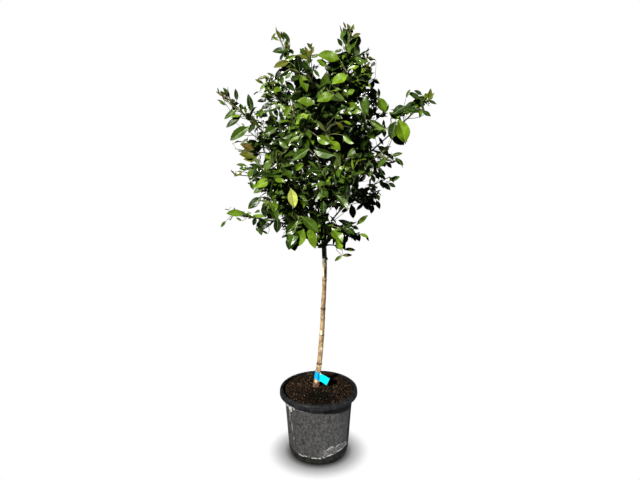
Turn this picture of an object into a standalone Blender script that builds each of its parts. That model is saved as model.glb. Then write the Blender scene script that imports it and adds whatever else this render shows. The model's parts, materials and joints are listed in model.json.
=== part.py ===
"""A young lemon tree grown as a standard, in a round nursery pot. Metres, +Z up.

The origin is the centre of the pot's flat underside. -Y is the side that faces the viewer, +X is
to the viewer's right. One bare stem rises from the compost to a fork, a leader and boughs leave
it, and each bough ends in a spray: a mass of twigs and leaves that keeps to its own space.
"""

import math
import random
from collections import namedtuple

import bmesh
import bpy
from mathutils import Matrix, Vector
from mathutils.bvhtree import BVHTree
from mathutils.geometry import intersect_point_line

UP = Vector((0.0, 0.0, 1.0))
GOLDEN_ANGLE = math.radians(137.5)
GAP = 0.0003
FLAT_ENOUGH = math.radians(0.8)

# Pot: a tapered tub with a step near the top and a rolled lip that is open underneath
POT_HEIGHT = 0.303
RIM_RADIUS = 0.1665
RIM_INNER_RADIUS = 0.1525
RIM_DEPTH = 0.024
RIM_ROLL = 0.005
WALL_TOP_RADIUS = 0.1455
BASE_RADIUS = 0.1275
BASE_CORNER = 0.008
STEP_RISE = 0.004
WALL = 0.0025
POT_STEPS = 30
DRAIN_HOLES = 6
DRAIN_RADIUS = 0.007
DRAIN_CIRCLE = 0.098

# Compost, filled to just below the rim, level where the stem stands
SOIL_BELOW_RIM = 0.010
SOIL_DISH = 0.004
SOIL_LEVEL_RADIUS = 0.045
SOIL_TOP = POT_HEIGHT - SOIL_BELOW_RIM

# Stem: height, sideways place, depth place and radius, from the flat cut up to the fork
FORK_HEIGHT = 1.045
STEM_STATIONS = (
    (SOIL_TOP + GAP, -0.0105, 0.0310, 0.0170),
    (SOIL_TOP + 0.012, -0.0095, 0.0300, 0.0142),
    (SOIL_TOP + 0.035, -0.0060, 0.0285, 0.0122),
    (0.422, 0.0050, 0.0240, 0.0108),
    (0.560, 0.0150, 0.0180, 0.0098),
    (0.658, 0.0190, 0.0140, 0.0093),
    (0.765, 0.0240, 0.0100, 0.0089),
    (0.880, 0.0245, 0.0050, 0.0096),
    (FORK_HEIGHT, 0.0170, 0.0000, 0.0105),
)
STEM_SIDES = 12
STEM_RINGS = 15
STEM_RING_CROWDING = 1.15
STUB_SIDES = 8
STUB_HEIGHT = 0.868
STUB_BEARING = math.radians(-35.0)
STUB_RISE = 0.35
STUB_RADIUS = 0.0072
STUB_REACH = 0.0135

# Label: a strip stuck round the stem, its two ends pressed together into a drooping flag
LABEL_WIDTH = 0.036
LABEL_BOTTOM = 0.329
LABEL_THICKNESS = 0.0006
LABEL_SLACK = 0.0008
LABEL_FLAG = 0.044
LABEL_FLAG_FOOT = math.radians(-62.0)
LABEL_FLAG_BEARING = math.radians(-14.0)
LABEL_DROOP = math.tan(math.radians(26.0))
LABEL_STEPS = 20

# Boughs, and the stem that each spray's twigs leave
BOUGH_SIDES = 6
BOUGH_RINGS = 5
LEADER_RINGS = 12
SHORTEST_BOUGH = 0.05
SPRAY_STEM_SIDES = 5
SPRAY_STEM_RINGS = 5
LIMB_TIP_RADIUS = 0.0016
LIMB_TAPER = 0.8
SPACE_MARGIN = 0.0012
ENTRY_MARGIN = 0.008
SITE_BACK = 0.65
LIMB_CLEARANCE = 0.0010

# Twigs, from the first to the last share of the spray's stem
TWIG_SIDES = 3
TWIG_RADIUS = 0.0024
TWIG_TIP_RADIUS = 0.0017
TWIG_FIRST = 0.10
TWIG_LAST = 0.90
TWIG_OPEN_LOW = math.radians(72.0)
TWIG_OPEN_HIGH = math.radians(38.0)
TWIG_RISE = 0.22
TWIG_SHARE = 0.80
TWIG_RETRY = 0.7

# Leaves: larger than life, because there are fewer of them than on the tree
LEAF_LENGTH = 0.125
LEAF_WIDTH_SHARE = 0.60
LEAF_DROOP = 0.11
LEAF_TAPER = 0.85
LEAF_FORWARD = 0.45
LEAF_SPREAD = 0.85
LEAF_SKYWARD = 0.75
LEAF_FIRST_ON_STEM = 0.45
LEAF_FIRST_ON_TWIG = 0.34
LEAF_LAST = 0.97
LEAF_AT_FOOT = 1.06
LEAF_AT_TIP = 0.74
LEAF_SPACING = 0.020
LEAF_TRIES = 12
LEAF_RETRY = 0.96
LEAF_ROOM_SHARE = 1.05

# Bearings are in degrees round the stem from +X towards +Y. The foot is a height on the parent limb,
# the arch is how far the limb bows above a straight line, and the room is how far the leaves stand
# from the spray's own line.
Spray = namedtuple("Spray", "name parent foot bearing reach height arch radius room twigs")
SPRAYS = (
    Spray("top_right", "stem", FORK_HEIGHT, 1, 0.120, 1.710, 0.00, 0.0085, 0.095, 7),
    Spray("low_left", "stem", 0.985, 181, 0.350, 1.065, 0.02, 0.0062, 0.080, 7),
    Spray("low_front", "stem", 0.965, 240, 0.180, 1.075, 0.05, 0.0052, 0.120, 7),
    Spray("low_right", "stem", 0.990, 308, 0.180, 1.035, 0.03, 0.0050, 0.100, 6),
    Spray("low_tuft", "stem", 0.935, 318, 0.145, 0.945, 0.02, 0.0034, 0.065, 4),
    Spray("low_back_right", "stem", 0.985, 48, 0.205, 1.080, 0.04, 0.0056, 0.115, 5),
    Spray("low_back_left", "stem", 1.010, 126, 0.235, 1.090, 0.04, 0.0060, 0.120, 5),
    Spray("mid_left", "leader", 1.110, 181, 0.265, 1.245, 0.02, 0.0058, 0.130, 8),
    Spray("mid_front_left", "stem", 1.025, 231, 0.255, 1.225, 0.02, 0.0062, 0.140, 7),
    Spray("mid_front_right", "leader", 1.090, 288, 0.245, 1.245, 0.02, 0.0060, 0.140, 7),
    Spray("mid_right", "leader", 1.090, 354, 0.200, 1.175, 0.02, 0.0056, 0.115, 6),
    Spray("right_spray", "leader", 1.150, 343, 0.285, 1.350, 0.00, 0.0054, 0.110, 7),
    Spray("mid_back_right", "leader", 1.120, 40, 0.270, 1.280, 0.02, 0.0058, 0.140, 6),
    Spray("mid_back_left", "leader", 1.135, 118, 0.270, 1.300, 0.02, 0.0058, 0.140, 6),
    Spray("left_shoulder", "leader", 1.165, 173, 0.285, 1.400, -0.01, 0.0052, 0.115, 7),
    Spray("left_shoot", "leader", 1.210, 187, 0.325, 1.505, -0.04, 0.0052, 0.090, 8),
    Spray("right_shoulder", "leader", 1.250, 357, 0.230, 1.490, -0.02, 0.0052, 0.130, 8),
    Spray("right_shoot", "leader", 1.190, 3, 0.390, 1.490, -0.03, 0.0052, 0.085, 8),
    Spray("upper_front", "leader", 1.235, 258, 0.210, 1.470, -0.03, 0.0054, 0.140, 7),
    Spray("upper_back", "leader", 1.300, 88, 0.220, 1.520, -0.02, 0.0054, 0.140, 7),
    Spray("upper_left", "leader", 1.285, 176, 0.180, 1.580, -0.02, 0.0046, 0.120, 8),
    Spray("upper_right", "leader", 1.330, 340, 0.185, 1.615, -0.02, 0.0046, 0.110, 8),
    Spray("top_left", "leader", 1.360, 184, 0.125, 1.705, -0.02, 0.0044, 0.085, 7),
    Spray("top_front", "leader", 1.390, 240, 0.080, 1.625, -0.01, 0.0044, 0.100, 6),
    Spray("top_back", "leader", 1.420, 70, 0.130, 1.600, -0.01, 0.0044, 0.105, 6),
)


def clear_scene():
    for obj in list(bpy.data.objects):
        bpy.data.objects.remove(obj)


def finish_material(name, colour, roughness):
    material = bpy.data.materials.new(name)
    material.use_nodes = True
    shader = material.node_tree.nodes["Principled BSDF"]
    shader.inputs["Base Color"].default_value = (*colour, 1.0)
    shader.inputs["Roughness"].default_value = roughness
    shader.inputs["Metallic"].default_value = 0.0
    return material


def add_object(name, bm, material=None, collection=None):
    """Turns a bmesh into an object of the scene."""
    mesh = bpy.data.meshes.new(name)
    bm.to_mesh(mesh)
    bm.free()
    if material:
        mesh.materials.append(material)
    obj = bpy.data.objects.new(name, mesh)
    (collection or bpy.context.scene.collection).objects.link(obj)
    return obj


def smooth(obj, sharp_degrees=35.0):
    obj.data.shade_smooth()
    obj.data.set_sharp_from_angle(angle=math.radians(sharp_degrees))


def apply_boolean(obj, operation, cutter=None, collection=None):
    modifier = obj.modifiers.new("boolean", "BOOLEAN")
    modifier.operation = operation
    modifier.solver = "EXACT"
    if collection:
        modifier.operand_type = "COLLECTION"
        modifier.collection = collection
    else:
        modifier.object = cutter
    graph = bpy.context.evaluated_depsgraph_get()
    mesh = bpy.data.meshes.new_from_object(obj.evaluated_get(graph))
    material = obj.data.materials[0]
    obj.modifiers.clear()
    obj.data = mesh
    mesh.materials.clear()
    mesh.materials.append(material)


def cut_away(obj, cutter_bm):
    cutter = add_object("cutter", cutter_bm)
    apply_boolean(obj, "DIFFERENCE", cutter=cutter)
    bpy.data.objects.remove(cutter)


def between(low, high, share):
    return low + (high - low) * share


def eased(points, t):
    """A point on the smooth curve through the points, with t from 0 to 1."""
    span = t * (len(points) - 1)
    i = min(int(span), len(points) - 2)
    u = span - i
    last = len(points) - 1
    p0, p1, p2, p3 = (points[max(0, min(last, i + k))] for k in (-1, 0, 1, 2))
    cubic = 3 * p1 - p0 - 3 * p2 + p3
    square = 2 * p0 - 5 * p1 + 4 * p2 - p3
    return 0.5 * (2 * p1 + (p2 - p0) * u + square * u * u + cubic * u**3)


def heading(bearing, rise=0.0):
    return Vector((math.cos(bearing), math.sin(bearing), rise))


# A limb is a row of stations: places on its line, each with a radius
Station = namedtuple("Station", "place radius")


def ring_matrices(stations, level_foot=False):
    """A matrix for each station that lays a unit ring across the limb, turned as little as can be."""
    places = [station.place for station in stations]
    tangents = []
    for i in range(len(places)):
        ahead = places[min(i + 1, len(places) - 1)]
        behind = places[max(i - 1, 0)]
        tangents.append((ahead - behind).normalized())
    if level_foot:
        tangents[0] = UP
    side = tangents[0].orthogonal()
    matrices = []
    for station, tangent in zip(stations, tangents):
        side = (side - tangent * side.dot(tangent)).normalized()
        turn = Matrix((side, tangent.cross(side), tangent)).transposed().to_4x4()
        matrices.append(Matrix.Translation(station.place) @ turn @ Matrix.Scale(station.radius, 4))
    return matrices


def limb_solid(stations, sides, level_foot=False):
    """A prism cut across into rings, each of which is then laid at its station."""
    spans = len(stations) - 1
    bm = bmesh.new()
    bmesh.ops.create_cone(bm, cap_ends=True, segments=sides, radius1=1.0, radius2=1.0, depth=spans)
    if spans > 1:
        long_edges = [edge for edge in bm.edges if abs(edge.verts[0].co.z - edge.verts[1].co.z) > 0.5]
        bmesh.ops.subdivide_edges(bm, edges=long_edges, cuts=spans - 1)
    matrices = ring_matrices(stations, level_foot)
    for vert in bm.verts:
        ring = round(vert.co.z + spans / 2)
        vert.co = matrices[ring] @ Vector((vert.co.x, vert.co.y, 0.0))
    return bm


def thicker(stations, sides, by):
    """The same limb with each of its flat sides, and its far end, moved out by a distance."""
    grown = [Station(s.place, s.radius + by / math.cos(math.pi / sides)) for s in stations]
    end = grown[-1]
    outward = (end.place - grown[-2].place).normalized()
    grown[-1] = Station(end.place + outward * by, end.radius)
    return grown


def at_height(stations, height):
    """The place and radius of a limb at a height."""
    for low, high in zip(stations, stations[1:]):
        if low.place.z <= height <= high.place.z:
            share = (height - low.place.z) / (high.place.z - low.place.z)
            return Station(low.place.lerp(high.place, share), between(low.radius, high.radius, share))
    return stations[-1]


# A spray's limb is one bow from its foot to its tip. Its bough is the first part of that bow, and the
# stem of its mass is the rest.
Limb = namedtuple("Limb", "start control end radius")


def bow_point(start, control, end, t):
    return start * (1 - t) ** 2 + control * (2 * t * (1 - t)) + end * t * t


def spray_limb(spray, parent):
    foot = at_height(parent, spray.foot).place
    tip = heading(math.radians(spray.bearing)) * spray.reach + UP * spray.height
    control = (foot + tip) / 2 + UP * spray.arch
    return Limb(foot, control, tip, spray.radius)


def limb_station(limb, t):
    place = bow_point(limb.start, limb.control, limb.end, t)
    return Station(place, between(limb.radius, LIMB_TIP_RADIUS, t**LIMB_TAPER))


def limb_stretch(limb, t0, t1, rings, trim=0.0):
    """Stations from t0 to t1, with the last one drawn back along the limb by the trim."""
    stations = [limb_station(limb, between(t0, t1, i / (rings - 1))) for i in range(rings)]
    end = stations[-1]
    inward = (stations[-2].place - end.place).normalized()
    stations[-1] = Station(end.place + inward * trim, end.radius)
    return stations


def site_of(limb, room):
    """The middle of a spray's space: a place on its limb a little way back from the tip."""
    steps = 100
    for i in reversed(range(steps)):
        place = limb_station(limb, i / steps).place
        if (place - limb.end).length > room * SITE_BACK:
            return place
    return limb.start


def inside_space(point, own, sites, margin):
    """Whether a point is nearer to its own site than to any other, by more than the margin."""
    for site in sites:
        if site is own:
            continue
        apart = (site - own).length
        to_wall = ((point - site).length_squared - (point - own).length_squared) / (2 * apart)
        if to_wall < margin:
            return False
    return True


def entry_share(limb, own, sites, parent_radius):
    """How far along its limb a bough ends: from there on the limb lies in the spray's own space."""
    steps = 60
    entry = 1.0
    for i in reversed(range(steps)):
        if not inside_space(limb_station(limb, i / steps).place, own, sites, ENTRY_MARGIN):
            break
        entry = i / steps
    for i in range(steps):
        run = (limb_station(limb, i / steps).place - limb.start).length
        if run > SHORTEST_BOUGH + parent_radius:
            return max(entry, i / steps)
    return entry


# A piece is a twig or a leaf, with what it takes to test it against the others
Piece = namedtuple("Piece", "bm tree points centre size")


def piece_of(bm):
    points = [vert.co.copy() for vert in bm.verts]
    centre = sum(points, Vector()) / len(points)
    size = max((point - centre).length for point in points)
    return Piece(bm, BVHTree.FromBMesh(bm), points, centre, size)


def touches(piece, others):
    for other in others:
        near = (piece.centre - other.centre).length < piece.size + other.size
        if near and piece.tree.overlap(other.tree):
            return True
    return False


def leaf_solid(root, along, face_up, length):
    """A pointed oval blade of eight faces, arched from root to tip over a straight keel."""
    bm = bmesh.new()
    bmesh.ops.create_circle(bm, segments=6, radius=1.0)
    for vert in bm.verts:
        share = ((vert.co.y + 1) / 2) ** LEAF_TAPER
        across = vert.co.x * LEAF_WIDTH_SHARE * between(0.65, 0.40, share)
        vert.co = Vector((share, across, -LEAF_DROOP * share**2))
    bmesh.ops.convex_hull(bm, input=bm.verts)
    turn = Matrix((along, face_up.cross(along), face_up)).transposed().to_4x4()
    place = Matrix.Translation(root) @ turn @ Matrix.Scale(length, 4)
    bmesh.ops.transform(bm, matrix=place, verts=bm.verts)
    bmesh.ops.recalc_face_normals(bm, faces=bm.faces)
    return bm


def leaf_pose(tangent, side, dice):
    """The way a leaf points, and the way its upper face looks: mostly up, but each one its own way."""
    rise = dice.uniform(-0.30, 0.40)
    along = (tangent * LEAF_FORWARD + side * LEAF_SPREAD + UP * rise).normalized()
    sky = UP * LEAF_SKYWARD + side * 0.3 + Vector([dice.uniform(-1.0, 1.0) for _ in range(3)])
    face_up = sky - along * sky.dot(along)
    return along, face_up.normalized()


def place_and_tangent(places, share):
    """The place at a share of a line's length, and the way the line runs there."""
    step = 0.03
    ahead = eased(places, min(1.0, share + step))
    behind = eased(places, share - step)
    return eased(places, share), (ahead - behind).normalized()


def side_at(tangent, azimuth):
    """A direction square to a tangent, turned round it by an azimuth."""
    first = tangent.orthogonal().normalized()
    return first * math.cos(azimuth) + tangent.cross(first) * math.sin(azimuth)


class SprayGrower:
    """Grows one spray by the seeded rule. Twigs leave the spray's stem by the golden angle, leaves
    leave each twig the same way, and nothing is kept that leaves the space or touches a limb."""

    def __init__(self, spray, stem_run, own, sites, limbs):
        self.spray = spray
        self.stem_run = stem_run
        self.own = own
        self.sites = sites
        self.limbs = limbs
        self.dice = random.Random(spray.name)
        self.leaf_length = min(LEAF_LENGTH, spray.room * LEAF_ROOM_SHARE)
        self.stem = piece_of(limb_solid(stem_run, SPRAY_STEM_SIDES))
        self.twigs = []
        self.leaves = []

    def near_stem(self, point):
        places = [station.place for station in self.stem_run]
        for low, high in zip(places, places[1:]):
            nearest, share = intersect_point_line(point, low, high)
            nearest = low.lerp(high, max(0.0, min(1.0, share)))
            if (point - nearest).length < self.spray.room:
                return True
        return False

    def fits(self, piece, carrier, with_leaves):
        others = [self.stem, *self.twigs] + (self.leaves if with_leaves else [])
        others = [other for other in others if other is not carrier]
        for point in piece.points:
            if not self.near_stem(point) or not inside_space(point, self.own, self.sites, SPACE_MARGIN):
                return False
        return not touches(piece, others) and not touches(piece, self.limbs)

    def add_leaf(self, root, tangent, azimuth, length, carrier):
        for _ in range(LEAF_TRIES):
            along, face_up = leaf_pose(tangent, side_at(tangent, azimuth), self.dice)
            size = length * self.dice.uniform(0.85, 1.12)
            piece = piece_of(leaf_solid(root, along, face_up, size))
            if self.fits(piece, carrier, with_leaves=True):
                self.leaves.append(piece)
                return
            piece.bm.free()
            azimuth += self.dice.uniform(0.5, 1.4)
            length *= LEAF_RETRY

    def add_leaves(self, stations, carrier, first, azimuth):
        """Leaves from the share first of a twig to its tip, smaller towards the tip."""
        places = [station.place for station in stations]
        run = sum((b - a).length for a, b in zip(places, places[1:]))
        count = max(2, round(run * (1 - first) / LEAF_SPACING))
        for i in range(count):
            share = between(first, LEAF_LAST, i / (count - 1))
            root, tangent = place_and_tangent(places, share)
            length = self.leaf_length * between(LEAF_AT_FOOT, LEAF_AT_TIP, share)
            self.add_leaf(root, tangent, azimuth + i * GOLDEN_ANGLE, length, carrier)

    def add_twig(self, root, direction, length):
        """A twig that leans up towards the light, or a shorter one where that doesn't fit."""
        for run in (length, length * TWIG_RETRY):
            end = root + (direction + UP * TWIG_RISE) * run
            stations = [Station(root, TWIG_RADIUS), Station(end, TWIG_TIP_RADIUS)]
            piece = piece_of(limb_solid(stations, TWIG_SIDES))
            if self.fits(piece, self.stem, with_leaves=False):
                self.twigs.append(piece)
                return stations
            piece.bm.free()
        return None

    def grow(self):
        places = [station.place for station in self.stem_run]
        grown = []
        for i in range(self.spray.twigs):
            share = between(TWIG_FIRST, TWIG_LAST, i / (self.spray.twigs - 1))
            root, tangent = place_and_tangent(places, share)
            azimuth = i * GOLDEN_ANGLE + self.dice.uniform(-0.3, 0.3)
            opening = between(TWIG_OPEN_LOW, TWIG_OPEN_HIGH, share)
            direction = tangent * math.cos(opening) + side_at(tangent, azimuth) * math.sin(opening)
            length = self.spray.room * TWIG_SHARE * (0.6 + 0.4 * math.sin(math.pi * share))
            stations = self.add_twig(root, direction, length)
            if stations:
                grown.append((stations, self.twigs[-1], azimuth))
        self.add_leaves(self.stem_run, self.stem, LEAF_FIRST_ON_STEM, 1.0)
        for stations, piece, azimuth in grown:
            self.add_leaves(stations, piece, LEAF_FIRST_ON_TWIG, azimuth)


def keep_one_body(mesh):
    """Drops loose scraps and fills sealed hollows: only the largest closed surface stays."""
    bm = bmesh.new()
    bm.from_mesh(mesh)
    waiting = set(bm.faces)
    bodies = []
    while waiting:
        body, edge = set(), [waiting.pop()]
        while edge:
            face = edge.pop()
            body.add(face)
            for line in face.edges:
                for neighbour in line.link_faces:
                    if neighbour in waiting:
                        waiting.discard(neighbour)
                        edge.append(neighbour)
        bodies.append(body)
    bodies.sort(key=len)
    scraps = [face for body in bodies[:-1] for face in body]
    if scraps:
        bmesh.ops.delete(bm, geom=scraps, context="FACES")
    bm.to_mesh(mesh)
    bm.free()


def merge_flat_faces(mesh):
    """Undoes the splits that a union leaves in faces that are still flat."""
    bm = bmesh.new()
    bm.from_mesh(mesh)
    bmesh.ops.dissolve_limit(bm, angle_limit=FLAT_ENOUGH, verts=bm.verts, edges=bm.edges)
    bmesh.ops.triangulate(bm, faces=bm.faces)
    bm.to_mesh(mesh)
    bm.free()


def fuse(host, solids):
    """Joins the solids to the host in one Boolean union on a collection."""
    collection = bpy.data.collections.new("fused")
    bpy.context.scene.collection.children.link(collection)
    for bm in solids:
        add_object("fused", bm, collection=collection)
    apply_boolean(host, "UNION", collection=collection)
    for obj in list(collection.objects):
        bpy.data.objects.remove(obj)
    bpy.data.collections.remove(collection)
    keep_one_body(host.data)


def turned(profile):
    """A solid turned about Z from a profile of (radius, height) that starts and ends on the axis."""
    bm = bmesh.new()
    verts = [bm.verts.new((radius, 0.0, height)) for radius, height in profile]
    edges = [bm.edges.new(pair) for pair in zip(verts, verts[1:])]
    centre = (0.0, 0.0, 0.0)
    bmesh.ops.spin(
        bm, geom=verts + edges, cent=centre, axis=UP, angle=math.tau, steps=POT_STEPS, use_merge=True
    )
    bmesh.ops.remove_doubles(bm, verts=bm.verts, dist=1e-6)
    bmesh.ops.recalc_face_normals(bm, faces=bm.faces)
    return bm


def pot_inside(gap):
    """The pot's inside from the middle of its floor to the lip, moved inwards by a gap."""
    step = POT_HEIGHT - RIM_DEPTH
    return [
        (0.0, WALL + gap),
        (BASE_RADIUS - BASE_CORNER - gap, WALL + gap),
        (BASE_RADIUS - WALL - gap, BASE_CORNER + WALL),
        (WALL_TOP_RADIUS - WALL - gap, step + WALL),
        (RIM_INNER_RADIUS - gap, step + STEP_RISE + WALL),
    ]


def pot_outside():
    step = POT_HEIGHT - RIM_DEPTH
    under_roll = POT_HEIGHT - RIM_ROLL
    return [
        (0.0, 0.0),
        (BASE_RADIUS - BASE_CORNER, 0.0),
        (BASE_RADIUS, BASE_CORNER),
        (WALL_TOP_RADIUS, step),
        (RIM_INNER_RADIUS + WALL, step + STEP_RISE),
        (RIM_INNER_RADIUS + WALL, under_roll),
        (RIM_RADIUS - WALL, under_roll),
        (RIM_RADIUS - WALL, step),
        (RIM_RADIUS, step),
        (RIM_RADIUS - RIM_ROLL / 5, under_roll),
        (RIM_RADIUS - RIM_ROLL, POT_HEIGHT),
        (RIM_INNER_RADIUS + WALL, POT_HEIGHT),
        (RIM_INNER_RADIUS, POT_HEIGHT - WALL),
    ]


def make_pot(plastic):
    pot = add_object("pot", turned(pot_outside() + pot_inside(0.0)[::-1]), plastic)
    for i in range(DRAIN_HOLES):
        place = heading(math.tau * (i + 0.5) / DRAIN_HOLES) * DRAIN_CIRCLE
        drill = bmesh.new()
        bmesh.ops.create_cone(
            drill,
            cap_ends=True,
            segments=8,
            radius1=DRAIN_RADIUS,
            radius2=DRAIN_RADIUS,
            depth=4 * WALL,
            matrix=Matrix.Translation(place),
        )
        cut_away(pot, drill)
    smooth(pot)


def make_compost(earth):
    top = [
        (RIM_INNER_RADIUS - GAP, SOIL_TOP - SOIL_DISH),
        (SOIL_LEVEL_RADIUS, SOIL_TOP),
        (0.0, SOIL_TOP),
    ]
    add_object("compost", turned(pot_inside(GAP) + top), earth)


def stem_stations():
    points = [Vector((x, y, z, radius)) for z, x, y, radius in STEM_STATIONS]
    stations = []
    for i in range(STEM_RINGS):
        # The rings lie closer together near the foot, where the flare bends
        point = eased(points, (i / (STEM_RINGS - 1)) ** STEM_RING_CROWDING)
        stations.append(Station(point.to_3d(), point.w))
    return stations


def make_stem(bark, stations):
    """The stem, with the stub of a pruned side shoot fused on."""
    stem = add_object("stem", limb_solid(stations, STEM_SIDES, level_foot=True), bark)
    root = at_height(stations, STUB_HEIGHT).place
    outward = heading(STUB_BEARING, STUB_RISE).normalized()
    stub = [
        Station(root, STUB_RADIUS),
        Station(root + outward * STUB_REACH * 0.8, STUB_RADIUS),
        Station(root + outward * STUB_REACH, STUB_RADIUS * 0.7),
    ]
    fuse(stem, [limb_solid(stub, STUB_SIDES)])
    smooth(stem)


def make_label(plastic, stations):
    """Ring and flag are one outline seen from above, raised to the strip's width, then sheared."""
    low = at_height(stations, LABEL_BOTTOM)
    lean = (at_height(stations, LABEL_BOTTOM + LABEL_WIDTH).place - low.place) / LABEL_WIDTH
    inner = low.radius + LABEL_SLACK
    outer = inner + LABEL_THICKNESS
    half_flag = LABEL_THICKNESS
    opening = math.asin(half_flag / outer)
    outline = []
    for i in range(LABEL_STEPS + 1):
        turn = between(opening, math.tau - opening, i / LABEL_STEPS)
        outline.append(heading(LABEL_FLAG_FOOT + turn) * outer)
    across = heading(LABEL_FLAG_BEARING + math.pi / 2) * half_flag
    tip = heading(LABEL_FLAG_FOOT) * outer + heading(LABEL_FLAG_BEARING) * LABEL_FLAG
    outline += [tip - across, tip + across]
    bm = bmesh.new()
    disc = bm.faces.new([bm.verts.new(point) for point in outline])
    made = bmesh.ops.extrude_face_region(bm, geom=[disc])["geom"]
    raised = [item for item in made if isinstance(item, bmesh.types.BMVert)]
    bmesh.ops.translate(bm, vec=UP * LABEL_WIDTH, verts=raised)
    bmesh.ops.recalc_face_normals(bm, faces=bm.faces)
    label = add_object("label", bm, plastic)
    core = bmesh.new()
    bmesh.ops.create_cone(
        core, cap_ends=True, segments=LABEL_STEPS, radius1=inner, radius2=inner, depth=4 * LABEL_WIDTH
    )
    cut_away(label, core)
    shear = Matrix.Identity(4)
    shear[2][0] = -LABEL_DROOP
    shear[0][2] = lean.x
    shear[1][2] = lean.y
    label.data.transform(Matrix.Translation(low.place) @ shear)


def make_boughs(bark, stem_run):
    """Each spray's limb and bough. The first limb is the leader, which other limbs leave."""
    runs = {"stem": stem_run}
    limbs = {}
    for spray in SPRAYS:
        limb = spray_limb(spray, runs[spray.parent])
        limbs[spray.name] = limb
        runs.setdefault("leader", limb_stretch(limb, 0.0, 1.0, LEADER_RINGS))
    sites = {spray.name: site_of(limbs[spray.name], spray.room) for spray in SPRAYS}
    cutters = {
        "stem": (thicker(stem_run, STEM_SIDES, GAP), STEM_SIDES, True),
        "leader": (thicker(runs["leader"], BOUGH_SIDES, GAP), BOUGH_SIDES, False),
    }
    entries = {}
    clear_limbs = [piece_of(limb_solid(thicker(stem_run, STEM_SIDES, LIMB_CLEARANCE), STEM_SIDES, True))]
    for spray in SPRAYS:
        limb = limbs[spray.name]
        parent_radius = at_height(runs[spray.parent], spray.foot).radius
        entry = entry_share(limb, sites[spray.name], sites.values(), parent_radius)
        if spray is SPRAYS[0]:
            # The leader keeps the rings that the other limbs are cut by
            last = math.ceil(entry * (LEADER_RINGS - 1))
            entry = last / (LEADER_RINGS - 1)
            name, rings = "leader", last + 1
        else:
            name, rings = "bough_" + spray.name, BOUGH_RINGS
        stations = limb_stretch(limb, 0.0, entry, rings, trim=GAP)
        bough = add_object(name, limb_solid(stations, BOUGH_SIDES), bark)
        cut_away(bough, limb_solid(*cutters[spray.parent]))
        keep_one_body(bough.data)
        smooth(bough)
        clear = limb_solid(thicker(stations, BOUGH_SIDES, LIMB_CLEARANCE), BOUGH_SIDES)
        clear_limbs.append(piece_of(clear))
        entries[spray.name] = entry
    return limbs, sites, entries, clear_limbs


def make_sprays(foliage, limbs, sites, entries, clear_limbs):
    """One fused mass of twigs and leaves for each spray."""
    for spray in SPRAYS:
        stem_run = limb_stretch(limbs[spray.name], entries[spray.name], 1.0, SPRAY_STEM_RINGS)
        grower = SprayGrower(spray, stem_run, sites[spray.name], sites.values(), clear_limbs)
        grower.grow()
        host = add_object("foliage_" + spray.name, grower.stem.bm, foliage)
        fuse(host, [piece.bm for piece in grower.twigs + grower.leaves])
        merge_flat_faces(host.data)


def main():
    clear_scene()
    bark = finish_material("bark", (0.46, 0.31, 0.16), 0.7)
    shoot_bark = finish_material("green_bark", (0.10, 0.13, 0.05), 0.6)
    foliage = finish_material("leaf", (0.055, 0.13, 0.025), 0.35)
    pot_plastic = finish_material("pot_plastic", (0.065, 0.065, 0.068), 0.65)
    label_plastic = finish_material("label_plastic", (0.0, 0.62, 0.86), 0.4)
    earth = finish_material("earth", (0.035, 0.024, 0.017), 0.95)

    make_pot(pot_plastic)
    make_compost(earth)
    stem_run = stem_stations()
    make_stem(bark, stem_run)
    make_label(label_plastic, stem_run)
    make_sprays(foliage, *make_boughs(shoot_bark, stem_run))


main()
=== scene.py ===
# %% [markdown]
# # A young lemon tree in its nursery pot
# The plant is a standard: one bare stem, a fork about a metre up, and a full crown above it. The
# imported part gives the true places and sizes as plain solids. This lesson dresses them: bark with
# relief, finer twigs, leaves at their real size, a moulded pot with its dust and scuffs, crumbly
# compost and a blank blue label. All lengths are in metres.

import json
import math
import random
from collections import namedtuple

import bmesh
import bpy
import numpy as np
from mathutils import Matrix, Vector, noise

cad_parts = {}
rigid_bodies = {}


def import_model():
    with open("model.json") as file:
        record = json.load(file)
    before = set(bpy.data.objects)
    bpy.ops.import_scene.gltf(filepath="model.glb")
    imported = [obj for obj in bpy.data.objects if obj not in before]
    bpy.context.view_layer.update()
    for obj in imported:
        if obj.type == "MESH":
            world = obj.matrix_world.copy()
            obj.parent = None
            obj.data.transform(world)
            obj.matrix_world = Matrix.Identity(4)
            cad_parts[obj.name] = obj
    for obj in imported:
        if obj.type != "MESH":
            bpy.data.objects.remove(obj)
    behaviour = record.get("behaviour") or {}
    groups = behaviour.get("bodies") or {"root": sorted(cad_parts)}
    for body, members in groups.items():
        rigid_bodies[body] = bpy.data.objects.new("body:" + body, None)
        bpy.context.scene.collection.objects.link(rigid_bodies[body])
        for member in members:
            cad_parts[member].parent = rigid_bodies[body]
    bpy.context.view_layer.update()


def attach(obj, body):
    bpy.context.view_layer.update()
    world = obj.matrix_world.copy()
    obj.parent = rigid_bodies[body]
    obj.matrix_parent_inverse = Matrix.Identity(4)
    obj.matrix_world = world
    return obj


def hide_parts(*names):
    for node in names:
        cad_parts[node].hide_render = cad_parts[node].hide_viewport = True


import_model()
UP = Vector((0.0, 0.0, 1.0))

# %% [markdown]
# ## Camera
# The photograph was taken from a little above the crown's middle, looking down by 15.5 degrees.
# The place and the lens were worked out from the ellipses of the pot's rim and foot, because the
# two ellipses flatten by different amounts, and how different they are tells how near the lens is.

# %% Camera
CAMERA_PLACE = (0.0061, -2.725, 1.717)
CAMERA_PITCH = math.radians(15.54)
SENSOR_WIDTH = 36.0
FOCAL_PIXELS = 700.0
PICTURE_WIDTH = 640.0

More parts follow.
